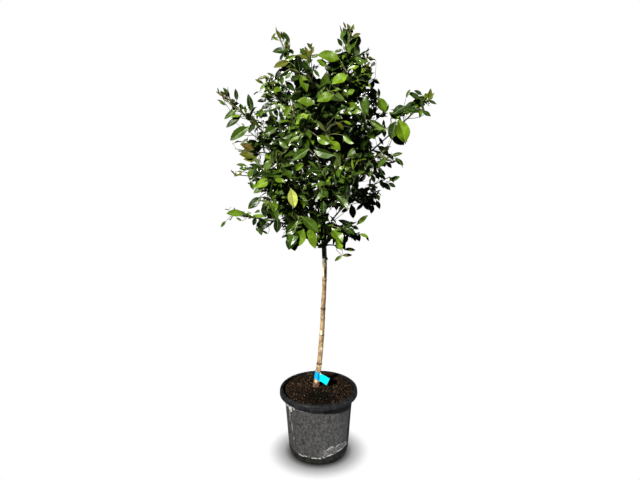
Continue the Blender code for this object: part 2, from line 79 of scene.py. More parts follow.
camera = bpy.data.objects.new("camera", bpy.data.cameras.new("camera"))
bpy.context.scene.collection.objects.link(camera)
camera.location = CAMERA_PLACE
camera.rotation_euler = (math.pi / 2 - CAMERA_PITCH, 0.0, 0.0)
camera.data.sensor_width = SENSOR_WIDTH
camera.data.lens = SENSOR_WIDTH * FOCAL_PIXELS / PICTURE_WIDTH
bpy.context.scene.camera = camera
print("lens", round(camera.data.lens, 2), "mm")

# %% [markdown]
# ## Light
# One strong light stands high on the left, a little in front of the plant, so glossy leaves flash
# and the inside of the crown falls dark. Very little light comes from elsewhere: a narrow lamp near
# the floor reaches only the pot, and three behind the plant show its far sides: two for the crown
# and one, lower than the pot's rim, for the pot and the trunk. The view transform is Standard,
# which keeps the white of the backdrop white.

# %% Light
SUN_FROM = Vector((-0.55, -0.75, 0.64))
SUN_STRENGTH = 6.9
SUN_ANGLE = math.radians(6.0)
SUN_COLOUR = (1.0, 0.97, 0.92)
LAMP_BLEND = 0.5
Lamp = namedtuple("Lamp", "name place aim watts cone softness")
LAMPS = (
    Lamp("pot_light", (1.55, -0.80, 0.20), (0.0, 0.0, 0.10), 226.0, 19.0, 0.30),
    Lamp("back_light", (0.20, 2.70, 0.70), (0.0, 0.0, 1.40), 310.0, 34.0, 0.45),
    Lamp("side_light", (2.30, 1.20, 0.90), (0.0, 0.0, 1.38), 130.0, 34.0, 0.45),
    Lamp("low_back_light", (-0.25, 2.40, 0.12), (0.0, 0.0, 0.32), 130.0, 27.0, 0.30),
)


def add_light(name, kind, energy, way):
    """A light that shines along a way."""
    light = bpy.data.objects.new(name, bpy.data.lights.new(name, kind))
    bpy.context.scene.collection.objects.link(light)
    light.data.energy = energy
    light.rotation_mode = "QUATERNION"
    light.rotation_quaternion = way.to_track_quat("-Z", "Y")
    return light


sun = add_light("key", "SUN", SUN_STRENGTH, -SUN_FROM)
sun.data.angle = SUN_ANGLE
sun.data.color = SUN_COLOUR
for lamp in LAMPS:
    light = add_light(lamp.name, "SPOT", lamp.watts, Vector(lamp.aim) - Vector(lamp.place))
    light.location = lamp.place
    light.data.spot_size = math.radians(lamp.cone)
    light.data.spot_blend = LAMP_BLEND
    light.data.shadow_soft_size = lamp.softness
bpy.context.scene.view_settings.view_transform = "Standard"
print("lights", [light.name for light in bpy.data.lights])

# %% [markdown]
# ## Node helpers and shared effects
# What a socket gives is kept as a Value, so plain arithmetic with it adds Math nodes. Four effects
# are used again and again, so each is a node group with named sockets: a patchy tone that drifts
# between two colours, a fine grain for the Normal socket, a spot at one place, and a band round a
# stem at one height. Each reads Object coordinates, so it stays on its piece.

# %% Node helpers
def add_node(tree, kind, **settings):
    node = tree.nodes.new("ShaderNode" + kind)
    for name, value in settings.items():
        setattr(node, name, value)
    return node


class Value:
    """What a socket gives. Arithmetic with it adds Math nodes to its tree."""

    def __init__(self, socket):
        self.socket = socket
        self.tree = socket.id_data

    def __add__(self, other):
        return calculate("ADD", self, other)

    def __sub__(self, other):
        return calculate("SUBTRACT", self, other)

    def __rsub__(self, other):
        return calculate("SUBTRACT", other, self)

    def __mul__(self, other):
        return calculate("MULTIPLY", self, other)

    def __truediv__(self, other):
        return calculate("DIVIDE", self, other)

    def __pow__(self, other):
        return calculate("POWER", self, other)

    def __abs__(self):
        return calculate("ABSOLUTE", self)


def link(source, target):
    """Joins what a socket gives to another socket, or sets that one to a plain value."""
    if isinstance(source, Value):
        source.tree.links.new(source.socket, target)
    elif target.type == "RGBA":
        target.default_value = (*source, 1.0)
    else:
        target.default_value = source


def calculate(operation, *values):
    tree = next(value.tree for value in values if isinstance(value, Value))
    node = add_node(tree, "Math", operation=operation)
    for value, socket in zip(values, node.inputs):
        link(value, socket)
    return Value(node.outputs[0])


def distance(*steps):
    """How far the steps along the axes lead in all."""
    total = steps[0] ** 2.0
    for step in steps[1:]:
        total += step**2.0
    return calculate("SQRT", total)


def split(place):
    """The x, y and z of a place."""
    node = add_node(place.tree, "SeparateXYZ")
    link(place, node.inputs[0])
    return [Value(socket) for socket in node.outputs]


def add_noise(place, scale, detail=3.0):
    node = add_node(place.tree, "TexNoise")
    for value, name in ((place, "Vector"), (scale, "Scale"), (detail, "Detail")):
        link(value, node.inputs[name])
    return Value(node.outputs["Fac"])


def wobble(place, scale, swing, detail=6.0):
    """Noise that swings about zero."""
    return (add_noise(place, scale, detail) - 0.5) * swing


def add_range(value, low, high):
    """0 below low, 1 above high, and smooth between them. With low above high it runs down."""
    node = add_node(value.tree, "MapRange", interpolation_type="SMOOTHSTEP")
    for source, name in ((value, "Value"), (low, "From Min"), (high, "From Max")):
        link(source, node.inputs[name])
    return Value(node.outputs["Result"])


def add_mix(share, first, second):
    """The first colour where the share is 0, and the second where it is 1."""
    node = add_node(share.tree, "Mix", data_type="RGBA")
    for value, socket in zip((share, first, second), (node.inputs[0], node.inputs[6], node.inputs[7])):
        link(value, socket)
    return Value(node.outputs[2])


def object_place(tree):
    return Value(add_node(tree, "TexCoord").outputs["Object"])


def stretched_place(tree, upright):
    """Object coordinates with their height multiplied: a value below 1 draws a pattern out upright."""
    stretch = add_node(tree, "CombineXYZ")
    for value, socket in zip((1.0, 1.0, upright), stretch.inputs):
        link(value, socket)
    stretched = add_node(tree, "VectorMath", operation="MULTIPLY")
    link(object_place(tree), stretched.inputs[0])
    link(Value(stretch.outputs[0]), stretched.inputs[1])
    return Value(stretched.outputs[0])


def start_group(name, inputs, outputs):
    """A new node group, what its inputs give, and the sockets of its outputs."""
    tree = bpy.data.node_groups.new(name, "ShaderNodeTree")
    for title, kind, value in inputs:
        socket = tree.interface.new_socket(title, in_out="INPUT", socket_type="NodeSocket" + kind)
        socket.default_value = (*value, 1.0) if kind == "Color" else value
    for title, kind in outputs:
        tree.interface.new_socket(title, in_out="OUTPUT", socket_type="NodeSocket" + kind)
    given = tree.nodes.new("NodeGroupInput").outputs
    return tree, {title: Value(given[title]) for title, _, _ in inputs}, tree.nodes.new("NodeGroupOutput").inputs


def use_group(tree, group, **values):
    """Places a group in a material. An underscore in a value's name stands for a space."""
    node = add_node(tree, "Group", node_tree=group)
    for name, value in values.items():
        link(value, node.inputs[name.replace("_", " ")])
    return {socket.name: Value(socket) for socket in node.outputs}


# %% Shared effects
patchy, given, made = start_group(
    "patchy tone",
    [("First", "Color", (0.1, 0.1, 0.1)), ("Second", "Color", (0.2, 0.2, 0.2)), ("Scale", "Float", 20.0),
     ("Low", "Float", 0.40), ("High", "Float", 0.60), ("Stretch", "Float", 1.0)],
    [("Colour", "Color"), ("Mask", "Float")],
)
pattern = add_noise(stretched_place(patchy, given["Stretch"]), given["Scale"], 5.0)
share = add_range(pattern, given["Low"], given["High"])
link(add_mix(share, given["First"], given["Second"]), made["Colour"])
link(share, made["Mask"])

grain, given, made = start_group(
    "fine grain",
    [("Scale", "Float", 200.0), ("Depth", "Float", 0.0005), ("Stretch", "Float", 1.0)],
    [("Normal", "Vector")],
)
bump = add_node(grain, "Bump")
link(given["Depth"], bump.inputs["Distance"])
link(add_noise(stretched_place(grain, given["Stretch"]), given["Scale"], 6.0), bump.inputs["Height"])
link(Value(bump.outputs[0]), made["Normal"])

spot, given, made = start_group(
    "spot at a place",
    [("Place", "Vector", (0.0, 0.0, 0.0)), ("Radius", "Float", 0.01), ("Tall", "Float", 1.0)],
    [("Mask", "Float")],
)
offset = add_node(spot, "VectorMath", operation="SUBTRACT")
place = object_place(spot)
link(place, offset.inputs[0])
link(given["Place"], offset.inputs[1])
x, y, z = split(Value(offset.outputs[0]))
reach = distance(x, y, z / given["Tall"]) / given["Radius"]
link(add_range(reach + add_noise(place, 160.0) * 0.9, 1.55, 1.25), made["Mask"])

band, given, made = start_group(
    "band round a stem",
    [("Height", "Float", 0.5), ("Half Width", "Float", 0.002), ("Dip", "Float", 0.0)],
    [("Mask", "Float")],
)
place = object_place(band)
_, y, z = split(place)
level = z - given["Height"] - y * given["Dip"]
away = abs(level + wobble(place, 90.0, 0.0025, 3.0)) / given["Half Width"]
link(add_range(away, 1.4, 0.6), made["Mask"])
print("shared effects", [group.name for group in bpy.data.node_groups])

# %% [markdown]
# ## Making a piece
# A finished piece sits at the origin with its place in its mesh. It rides on the one body of the part, names the
# finish it takes, and hides the plain solids that it stands for.

# %% Making a piece
def new_material(name, roughness, gloss=0.5):
    """A material, its tree and its shader's sockets. The gloss is how strongly it mirrors."""
    material = bpy.data.materials.new(name)
    material.use_nodes = True
    sockets = material.node_tree.nodes["Principled BSDF"].inputs
    link(roughness, sockets["Roughness"])
    link(gloss, sockets["Specular IOR Level"])
    return material, material.node_tree, sockets


def dress(tree, sockets, colour, scale, depth, stretch=1.0):
    """Gives a shader its colour, and a fine grain of a scale and a depth."""
    link(colour, sockets["Base Color"])
    link(use_group(tree, grain, Scale=scale, Depth=depth, Stretch=stretch)["Normal"], sockets["Normal"])


def add_spots(tree, colour, spots):
    """Lays spots over a colour. Each has a place, a radius, how far it is drawn out upright, and its colour."""
    for place, radius, tall, over in spots:
        colour = add_mix(use_group(tree, spot, Place=place, Radius=radius, Tall=tall)["Mask"], colour, over)
    return colour


def finish_piece(name, mesh, material, stands_for=()):
    mesh.materials.append(material)
    piece = bpy.data.objects.new(name, mesh)
    bpy.context.scene.collection.objects.link(piece)
    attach(piece, "root")
    if stands_for:
        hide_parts(*stands_for)
    print(name, len(mesh.polygons), "faces")


def mesh_of(name, bm, sharp_degrees=40.0):
    mesh = bpy.data.meshes.new(name)
    bm.to_mesh(mesh)
    bm.free()
    mesh.shade_smooth()
    mesh.set_sharp_from_angle(angle=math.radians(sharp_degrees))
    return mesh


def spun(section, steps):
    """A body from a section, spun about the axis. The section is a row of radii and heights."""
    bm = bmesh.new()
    row = [bm.verts.new((radius, 0.0, z)) for radius, z in section]
    edges = [bm.edges.new(pair) for pair in zip(row, row[1:])]
    bmesh.ops.spin(bm, geom=row + edges, cent=(0, 0, 0), axis=UP, angle=math.tau, steps=steps, use_merge=True)
    bmesh.ops.remove_doubles(bm, verts=bm.verts, dist=1e-6)
    bmesh.ops.recalc_face_normals(bm, faces=bm.faces)
    return bm


def cut_away(mesh, cutter):
    """The mesh with the cutter's volume taken out of it, by a Boolean modifier that is applied at once."""
    body, tool = (bpy.data.objects.new("scratch", source) for source in (mesh, cutter))
    for item in (body, tool):
        bpy.context.scene.collection.objects.link(item)
    body.modifiers.new("cut", "BOOLEAN").object = tool
    result = bpy.data.meshes.new_from_object(body.evaluated_get(bpy.context.evaluated_depsgraph_get()))
    result.name = mesh.name + "_cut"
    for item in (body, tool):
        bpy.data.objects.remove(item)
    return result


def between(low, high, share):
    return low + (high - low) * share


# %% [markdown]
# ## Floor and backdrop
# The backdrop is white for the camera, and gives everything else only a faint fill light. The floor
# is as white as the backdrop for the camera too, and sends almost no light back up into the plant.
# Where something stands close to it, it darkens, which gives the soft shadow round the pot.

# %% Floor and backdrop
WHITE = (1.0, 1.0, 1.0)
FILL_STRENGTH = 0.008
FILL_COLOUR = (0.95, 0.98, 1.0)
FLOOR_SIZE = 40.0
FLOOR_SHADE = (0.03, 0.03, 0.03)
FLOOR_GLOW = 0.02
SHADE_SAMPLES = 16
SHADES = ((0.10, 2.5), (0.03, 1.0))  # How far each of the two shades reaches, and how fast it deepens


def camera_only(tree, seen, other, output):
    """Shows one shader to the camera, and another to everything else."""
    either = add_node(tree, "MixShader")
    from_camera = add_node(tree, "LightPath").outputs["Is Camera Ray"]
    for source, target in zip((from_camera, other, seen), either.inputs):
        link(Value(source), target)
    link(Value(either.outputs[0]), output)


world = bpy.data.worlds.new("room")
bpy.context.scene.world = world
world.use_nodes = True
tree = world.node_tree
backdrop, fill = tree.nodes["Background"], add_node(tree, "Background")
link(WHITE, backdrop.inputs["Color"])
link(FILL_COLOUR, fill.inputs["Color"])
link(FILL_STRENGTH, fill.inputs["Strength"])
camera_only(tree, backdrop.outputs[0], fill.outputs[0], tree.nodes["World Output"].inputs["Surface"])

bm = bmesh.new()
bmesh.ops.create_grid(bm, x_segments=1, y_segments=1, size=FLOOR_SIZE / 2)
floor_mesh = bpy.data.meshes.new("floor")
bm.to_mesh(floor_mesh)
bm.free()
floor = bpy.data.objects.new("floor", floor_mesh)
bpy.context.scene.collection.objects.link(floor)
floor_paint = bpy.data.materials.new("floor")
floor_paint.use_nodes = True
tree = floor_paint.node_tree
tree.nodes.remove(tree.nodes["Principled BSDF"])
open_sky = []
for reach, power in SHADES:
    shut_in = add_node(tree, "AmbientOcclusion", samples=SHADE_SAMPLES)
    link(reach, shut_in.inputs["Distance"])
    open_sky.append(Value(shut_in.outputs["AO"]) ** power)
seen, dim = add_node(tree, "Emission"), add_node(tree, "Emission")
link(add_mix(open_sky[0] * open_sky[1], FLOOR_SHADE, WHITE), seen.inputs["Color"])
link(FLOOR_GLOW, dim.inputs["Strength"])
camera_only(tree, seen.outputs[0], dim.outputs[0], tree.nodes["Material Output"].inputs["Surface"])
floor_mesh.materials.append(floor_paint)
print("floor", FLOOR_SIZE, "m wide, fill light", FILL_STRENGTH)

# %% [markdown]
# ## The skeleton
# The stem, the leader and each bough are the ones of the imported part, so their values and the rule
# that makes them are written again here. A limb is one bow from its foot to its tip, and each
# spray has its own space: the points that are nearer to its middle than to any other spray's.

# %% Skeleton values
FORK_HEIGHT = 1.045
SOIL_TOP = 0.293
STEM_STATIONS = (
    (SOIL_TOP - 0.006, -0.0110, 0.0313, 0.0124),
    (SOIL_TOP + 0.012, -0.0095, 0.0300, 0.0126),
    (SOIL_TOP + 0.035, -0.0060, 0.0285, 0.0122),
    (0.422, 0.0050, 0.0240, 0.0108),
    (0.560, 0.0150, 0.0180, 0.0098),
    (0.658, 0.0190, 0.0140, 0.0093),
    (0.765, 0.0240, 0.0100, 0.0089),
    (0.880, 0.0245, 0.0050, 0.0096),
    (FORK_HEIGHT, 0.0170, 0.0000, 0.0105),
)
GOLDEN_ANGLE = math.radians(137.5)
LIMB_TIP_RADIUS = 0.0016
LIMB_TAPER = 0.8
SHORTEST_BOUGH = 0.05
ENTRY_MARGIN = 0.008
SITE_BACK = 0.65

# A spray's limb leaves its parent at a foot's height, takes a bearing in degrees and arches to a tip at a reach
# and a height. Then come the radius at its foot, the room round it, how many twigs it has, the usual length of
# a leaf there, how much of the growth is young, and how full of leaves it is.
Spray = namedtuple(
    "Spray", "name parent foot bearing reach height arch radius room twigs leaf young fill", defaults=(1.0,),
)
SPRAYS = (
    Spray("top_right", "stem", FORK_HEIGHT, 1, 0.120, 1.710, 0.00, 0.0085, 0.095, 7, 0.058, 0.50),
    Spray("low_left", "stem", 0.985, 181, 0.350, 1.065, 0.02, 0.0062, 0.080, 7, 0.050, 0.25, 0.70),
    Spray("low_front", "stem", 0.965, 240, 0.180, 1.075, 0.05, 0.0052, 0.120, 7, 0.068, 0.35),
    Spray("low_right", "stem", 0.990, 308, 0.180, 1.035, 0.03, 0.0050, 0.100, 6, 0.052, 0.20),
    Spray("low_tuft", "stem", 0.935, 318, 0.145, 0.945, 0.02, 0.0034, 0.065, 4, 0.040, 0.60, 0.18),
    Spray("low_back_right", "stem", 0.985, 48, 0.205, 1.080, 0.04, 0.0056, 0.115, 5, 0.050, 0.10),
    Spray("low_back_left", "stem", 1.010, 126, 0.235, 1.090, 0.04, 0.0060, 0.120, 5, 0.050, 0.10),
    Spray("mid_left", "leader", 1.110, 181, 0.265, 1.245, 0.02, 0.0058, 0.130, 8, 0.042, 0.20),
    Spray("mid_front_left", "stem", 1.025, 231, 0.255, 1.225, 0.02, 0.0062, 0.140, 7, 0.050, 0.25),
    Spray("mid_front_right", "leader", 1.090, 288, 0.245, 1.245, 0.02, 0.0060, 0.140, 7, 0.048, 0.25),
    Spray("mid_right", "leader", 1.090, 354, 0.200, 1.175, 0.02, 0.0056, 0.115, 6, 0.042, 0.10),
    Spray("right_spray", "leader", 1.150, 343, 0.285, 1.350, 0.00, 0.0054, 0.110, 7, 0.050, 0.15),
    Spray("mid_back_right", "leader", 1.120, 40, 0.270, 1.280, 0.02, 0.0058, 0.140, 6, 0.048, 0.10),
    Spray("mid_back_left", "leader", 1.135, 118, 0.270, 1.300, 0.02, 0.0058, 0.140, 6, 0.048, 0.10),
    Spray("left_shoulder", "leader", 1.165, 173, 0.285, 1.400, -0.01, 0.0052, 0.115, 7, 0.044, 0.35),
    Spray("left_shoot", "leader", 1.210, 187, 0.325, 1.505, -0.04, 0.0052, 0.090, 8, 0.048, 0.60, 0.80),
    Spray("right_shoulder", "leader", 1.250, 357, 0.230, 1.490, -0.02, 0.0052, 0.130, 8, 0.054, 0.25),
    Spray("right_shoot", "leader", 1.190, 3, 0.390, 1.490, -0.03, 0.0052, 0.085, 8, 0.054, 0.45, 0.75),
    Spray("upper_front", "leader", 1.235, 258, 0.210, 1.470, -0.03, 0.0054, 0.140, 7, 0.062, 0.45),
    Spray("upper_back", "leader", 1.300, 88, 0.220, 1.520, -0.02, 0.0054, 0.140, 7, 0.050, 0.15),
    Spray("upper_left", "leader", 1.285, 176, 0.180, 1.580, -0.02, 0.0046, 0.120, 8, 0.042, 0.40),
    Spray("upper_right", "leader", 1.330, 340, 0.185, 1.615, -0.02, 0.0046, 0.110, 8, 0.058, 0.50),
    Spray("top_left", "leader", 1.360, 184, 0.125, 1.705, -0.02, 0.0044, 0.085, 7, 0.042, 0.65),
    Spray("top_front", "leader", 1.390, 240, 0.080, 1.625, -0.01, 0.0044, 0.100, 6, 0.060, 0.50),
    Spray("top_back", "leader", 1.420, 70, 0.130, 1.600, -0.01, 0.0044, 0.105, 6, 0.050, 0.25),
)

# %% Lines and limbs
Station = namedtuple("Station", "place radius")
Limb = namedtuple("Limb", "start control end radius")


def eased(points, t):
    """A point on the smooth curve through the points, with t from 0 to 1."""
    span = t * (len(points) - 1)
    i = min(int(span), len(points) - 2)
    u = span - i
    last = len(points) - 1
    p0, p1, p2, p3 = (points[max(0, min(last, i + k))] for k in (-1, 0, 1, 2))
    cubic = 3 * p1 - p0 - 3 * p2 + p3
    square = 2 * p0 - 5 * p1 + 4 * p2 - p3
    return 0.5 * (2 * p1 + (p2 - p0) * u + square * u * u + cubic * u**3)


def heading(bearing, rise=0.0):
    return Vector((math.cos(bearing), math.sin(bearing), rise))


def side_at(tangent, azimuth):
    """A direction square to a tangent, turned round it by an azimuth."""
    first = tangent.orthogonal().normalized()
    return first * math.cos(azimuth) + tangent.cross(first) * math.sin(azimuth)


def place_and_tangent(places, share):
    """The place at a share of a line's length, and the way the line runs there."""
    step = 0.03
    ahead = eased(places, min(1.0, share + step))
    behind = eased(places, max(0.0, share - step))
    return eased(places, share), (ahead - behind).normalized()


def at_height(stations, height):
    for low, high in zip(stations, stations[1:]):
        if low.place.z <= height <= high.place.z:
            share = (height - low.place.z) / (high.place.z - low.place.z)
            return Station(low.place.lerp(high.place, share), between(low.radius, high.radius, share))
    return stations[-1]


def limb_station(limb, t):
    """A bow's place at a share of it, and its radius there."""
    place = limb.start * (1 - t) ** 2 + limb.control * (2 * t * (1 - t)) + limb.end * t * t
    return Station(place, between(limb.radius, LIMB_TIP_RADIUS, t**LIMB_TAPER))


def limb_stretch(limb, t0, t1, rings):
    return [limb_station(limb, between(t0, t1, i / (rings - 1))) for i in range(rings)]


def spray_limb(spray, foot):
    tip = heading(math.radians(spray.bearing)) * spray.reach + UP * spray.height
    control = (foot + tip) / 2 + UP * spray.arch
    return Limb(foot, control, tip, spray.radius)


def site_of(limb, room):
    """The middle of a spray's space: a place on its limb a little way back from the tip."""
    steps = 100
    for i in reversed(range(steps)):
        place = limb_station(limb, i / steps).place
        if (place - limb.end).length > room * SITE_BACK:
            return place
    return limb.start


def room_to_wall(point, own):
    """How far a point is inside the space of the site numbered own. It is below zero outside."""
    point = np.asarray(point)
    squares = ((point - SITES) ** 2).sum(axis=1)
    apart = np.linalg.norm(SITES - SITES[own], axis=1)
    apart[own] = 1.0
    walls = (squares - squares[own]) / (2 * apart)
    walls[own] = 1.0
    return walls.min()


def entry_share(limb, own, parent_radius):
    """How far along its limb a bough ends: from there on the limb lies in the spray's own space."""
    steps = 60
    entry = 1.0
    for i in reversed(range(steps)):
        if room_to_wall(limb_station(limb, i / steps).place, own) < ENTRY_MARGIN:
            break
        entry = i / steps
    for i in range(steps):
        run = (limb_station(limb, i / steps).place - limb.start).length
        if run > SHORTEST_BOUGH + parent_radius:
            return max(entry, i / steps)
    return entry


# %% Lay out the skeleton
STEM_RINGS = 150
LEADER_STATIONS = 12
stem_points = [Vector((x, y, z, radius)) for z, x, y, radius in STEM_STATIONS]
stem_run = []
for i in range(STEM_RINGS):
    point = eased(stem_points, i / (STEM_RINGS - 1))
    stem_run.append(Station(point.to_3d(), point.w))
leader_limb = spray_limb(SPRAYS[0], at_height(stem_run, FORK_HEIGHT).place)
parent_runs = {"stem": stem_run, "leader": limb_stretch(leader_limb, 0.0, 1.0, LEADER_STATIONS)}


def parent_station(spray):
    """Where a spray's limb leaves its parent."""
    return at_height(parent_runs[spray.parent], spray.foot)


LIMBS = {spray.name: spray_limb(spray, parent_station(spray).place) for spray in SPRAYS}
SITES = np.array([site_of(LIMBS[spray.name], spray.room) for spray in SPRAYS])
ENTRIES = {spray.name: entry_share(LIMBS[spray.name], own, parent_station(spray).radius)
           for own, spray in enumerate(SPRAYS)}
print("limbs", len(LIMBS), "entries", [round(entry, 2) for entry in ENTRIES.values()])

# %% [markdown]
# ## Limbs as meshes
# A limb starts as a prism, is cut across into rings, and each ring is laid at its station. Then
# every point moves in or out along its ring's spoke by a small amount of noise, which runs along
# the limb in long ridges as bark does.

# %% Limbs as meshes
def ring_matrices(stations):
    """A matrix for each station that lays a unit ring across the limb, turned as little as can be."""
    places = [station.place for station in stations]
    last = len(places) - 1
    matrices = []
    side = None
    for i, station in enumerate(stations):
        tangent = (places[min(i + 1, last)] - places[max(i - 1, 0)]).normalized()
        side = side or tangent.orthogonal()
        side = (side - tangent * side.dot(tangent)).normalized()
        turn = Matrix((side, tangent.cross(side), tangent)).transposed().to_4x4()
        matrices.append(Matrix.Translation(station.place) @ turn @ Matrix.Scale(station.radius, 4))
    return matrices


def limb_body(stations, sides, relief=None):
    """The limb's mesh. The relief gives a share of the radius to add at a point and its bearing."""
    spans = len(stations) - 1
    bm = bmesh.new()
    bmesh.ops.create_cone(bm, cap_ends=True, segments=sides, radius1=1.0, radius2=1.0, depth=spans)
    long_edges = [edge for edge in bm.edges if abs(edge.verts[0].co.z - edge.verts[1].co.z) > 0.5]
    bmesh.ops.subdivide_edges(bm, edges=long_edges, cuts=spans - 1)
    matrices = ring_matrices(stations)
    for vert in bm.verts:
        ring = round(vert.co.z + spans / 2)
        spoke = Vector((vert.co.x, vert.co.y, 0.0))
        if relief:
            spoke *= 1.0 + relief(stations[ring], spoke)
        vert.co = matrices[ring] @ spoke
    return bm


def bark_noise(spoke, across, along):
    """Noise on a limb's skin. Across says how fast it changes round the limb, along where on the limb it is."""
    return noise.noise(Vector((spoke.x * across, spoke.y * across, along)))


# %% [markdown]
# ## Trunk
# The trunk's lower part is straw-coloured, with thin dark rings where old growth ended, and it
# widens to a knobbly foot. Near the top it turns dark brown and grey-green, and it carries on into
# the leader. The rings, the knobs and the ridges are in the mesh, and their colours are bands and
# spots at the same heights in the material.

# %% Trunk
TRUNK_SIDES = 26
LEADER_RINGS = 70
BLEND_RINGS = 14
COLOUR_CHANGE = 0.880
RIDGES = (2.2, 14.0, 0.065)  # How fast they change round the trunk and up it, and how strong they are
PITS = (5.0, 90.0, 0.045)
FOOT_REACH = 0.05
KNOBS = 0.55
RING_MARKS = (  # Height, half the width, and how far it dips towards the viewer
    (0.658, 0.0030, 0.5), (0.401, 0.0026, 0.3), (0.787, 0.0013, 0.2), (0.537, 0.0019, 0.3), (0.615, 0.0009, 0.0),
)


def trunk_relief(station, spoke):
    z = station.place.z
    amount = sum(strength * bark_noise(spoke, across, z * upwards) for across, upwards, strength in (RIDGES, PITS))
    for height, width, _ in RING_MARKS:
        away = (z - height) / (width * 2.2)
        amount += 0.15 * math.exp(-(away**2)) - 0.05 * math.exp(-((away - 1.9) ** 2))
    foot = max(0.0, 1.0 - (z - SOIL_TOP) / FOOT_REACH)
    return amount + foot * (KNOBS * bark_noise(spoke, 1.6, z * 45.0 + 3.0) + 0.03)


trunk_run = stem_run[:-1] + limb_stretch(leader_limb, 0.0, 1.0, LEADER_RINGS)
for i in range(BLEND_RINGS):
    # The stem's end is a little thicker than the leader's foot, so the first rings ease between them
    at = len(stem_run) - 1 + i
    share = i / BLEND_RINGS
    eased_radius = between(stem_run[-1].radius, trunk_run[at].radius, share * share * (3 - 2 * share))
    trunk_run[at] = Station(trunk_run[at].place, eased_radius)
trunk_rings = [trunk_run[0]]
for low, high in zip(trunk_run, trunk_run[1:]):
    trunk_rings += [Station(low.place.lerp(high.place, 0.5), (low.radius + high.radius) / 2), high]
trunk_mesh = mesh_of("trunk", limb_body(trunk_rings, TRUNK_SIDES, trunk_relief), 50.0)
print("trunk", len(trunk_rings), "rings")

# %% Bark of the trunk
STREAK_BROWN = (0.17, 0.10, 0.048)
RING_BROWN = (0.024, 0.012, 0.006)
PALE_STRAW = (0.70, 0.52, 0.30)
WORN_STRAW = (0.78, 0.66, 0.46)
WORN_SPOTS = (
    ((0.016, 0.010, 0.475), 0.008, 1.3, WORN_STRAW), ((0.008, 0.008, 0.552), 0.008, 1.6, WORN_STRAW),
    ((-0.012, 0.018, 0.321), 0.006, 0.8, WORN_STRAW),
)
# Under the crown: a painted patch of sunlight in cream, and a painted shadow patch in dark brown beside it
SUN_AND_SHADE_SPOTS = (
    ((0.013, -0.004, 0.824), 0.0125, 2.6, (0.86, 0.74, 0.52)),
    ((0.0310, -0.005, 0.817), 0.0100, 2.8, (0.060, 0.040, 0.022)),
)
bark, tree, sockets = new_material("trunk bark", 0.72)
straw = use_group(tree, patchy, First=(0.200, 0.122, 0.055), Second=(0.48, 0.335, 0.170),
                  Scale=60.0, Low=0.34, High=0.62, Stretch=0.6)
streaks = use_group(tree, patchy, Scale=150.0, Low=0.52, High=0.68, Stretch=0.35)
colour = add_mix(streaks["Mask"] * 0.70, straw["Colour"], STREAK_BROWN)
for mark_height, half_width, dip in RING_MARKS:
    mark = use_group(tree, band, Height=mark_height, Half_Width=half_width, Dip=dip)
    colour = add_mix(mark["Mask"] * 0.96, colour, RING_BROWN)
pale = use_group(tree, band, Height=0.3900, Half_Width=0.0050, Dip=0.3)
colour = add_mix(pale["Mask"] * 0.6, colour, PALE_STRAW)
colour = add_spots(tree, colour, WORN_SPOTS)
place = object_place(tree)
_, _, height = split(place)
foot = add_range(height, SOIL_TOP + 0.034, SOIL_TOP + 0.020)
foot_tone = use_group(tree, patchy, First=(0.036, 0.016, 0.008), Second=(0.19, 0.095, 0.048),
                      Scale=170.0, Low=0.40, High=0.60)
colour = add_mix(foot * 0.90, colour, foot_tone["Colour"])
# The upper bark's own grey-green, made paler than it is as painted light where the crown shades it
upper = use_group(tree, patchy, First=(0.165, 0.135, 0.088), Second=(0.430, 0.405, 0.245),
                  Scale=55.0, Low=0.42, High=0.62)
change = add_range(height + add_noise(place, 70.0) * 0.05, COLOUR_CHANGE, COLOUR_CHANGE + 0.008)
# The upper bark's colour, then the painted patches of sunlight and shadow under the crown
colour = add_spots(tree, add_mix(change, colour, upper["Colour"]), SUN_AND_SHADE_SPOTS)
dress(tree, sockets, colour, 260.0, 0.0007, 0.30)
finish_piece("trunk", trunk_mesh, bark, ["stem", "leader"])

# %% [markdown]
# ## Pruning scar
# A side shoot was cut off on the right just under the crown. What is left is a short stub with a
# pale ring of new wood round a dark middle. It is a small prism whose cut end is inset twice.

# %% Pruning scar
SCAR_HEIGHT = 0.877
SCAR_BEARING = math.radians(-60.0)
SCAR_RISE = 0.35
SCAR_RADIUS = 0.0090
SCAR_REACH = 0.0150
SCAR_STEPS = ((0.002, 1.35), (0.0085, 1.12), (0.012, 1.0), (SCAR_REACH, 0.88))
scar_root = at_height(stem_run, SCAR_HEIGHT).place
scar_axis = heading(SCAR_BEARING, SCAR_RISE).normalized()
bm = limb_body([Station(scar_root + scar_axis * reach, SCAR_RADIUS * share) for reach, share in SCAR_STEPS], 20)
cut_end = max(bm.faces, key=lambda face: face.calc_center_median().dot(scar_axis))
bmesh.ops.inset_region(bm, faces=[cut_end], thickness=SCAR_RADIUS * 0.34, depth=0.0)
bmesh.ops.inset_region(bm, faces=[cut_end], thickness=SCAR_RADIUS * 0.12, depth=-0.0022)
scar, tree, sockets = new_material("scar wood", 0.6)
ring_tone = use_group(tree, patchy, First=(0.82, 0.72, 0.50), Second=(0.95, 0.90, 0.72),
                      Scale=90.0, Low=0.35, High=0.55)
hollow = (tuple(scar_root + scar_axis * (SCAR_REACH - 0.002)), 0.0038, 1.0, (0.05, 0.03, 0.02))
link(add_spots(tree, ring_tone["Colour"], [hollow]), sockets["Base Color"])
finish_piece("pruning_scar", mesh_of("pruning_scar", bm, 30.0), scar)

# %% [markdown]
# ## Boughs
# Each bough starts inside its parent with a collar, as a real branch does, and runs on as the stem
# of its spray to the spray's tip, where the bark is still green. All of them are one piece.

# %% Boughs
BOUGH_SIDES = 9
BOUGH_RINGS = 34
COLLAR = 0.030
COLLAR_WIDENING = 0.55
CROWN_X = 0.02
TIP_GREEN = (0.130, 0.150, 0.050)


def bough_relief(station, spoke):
    return 0.06 * bark_noise(spoke, 2.0, (station.place.z + station.place.x) * 40.0)


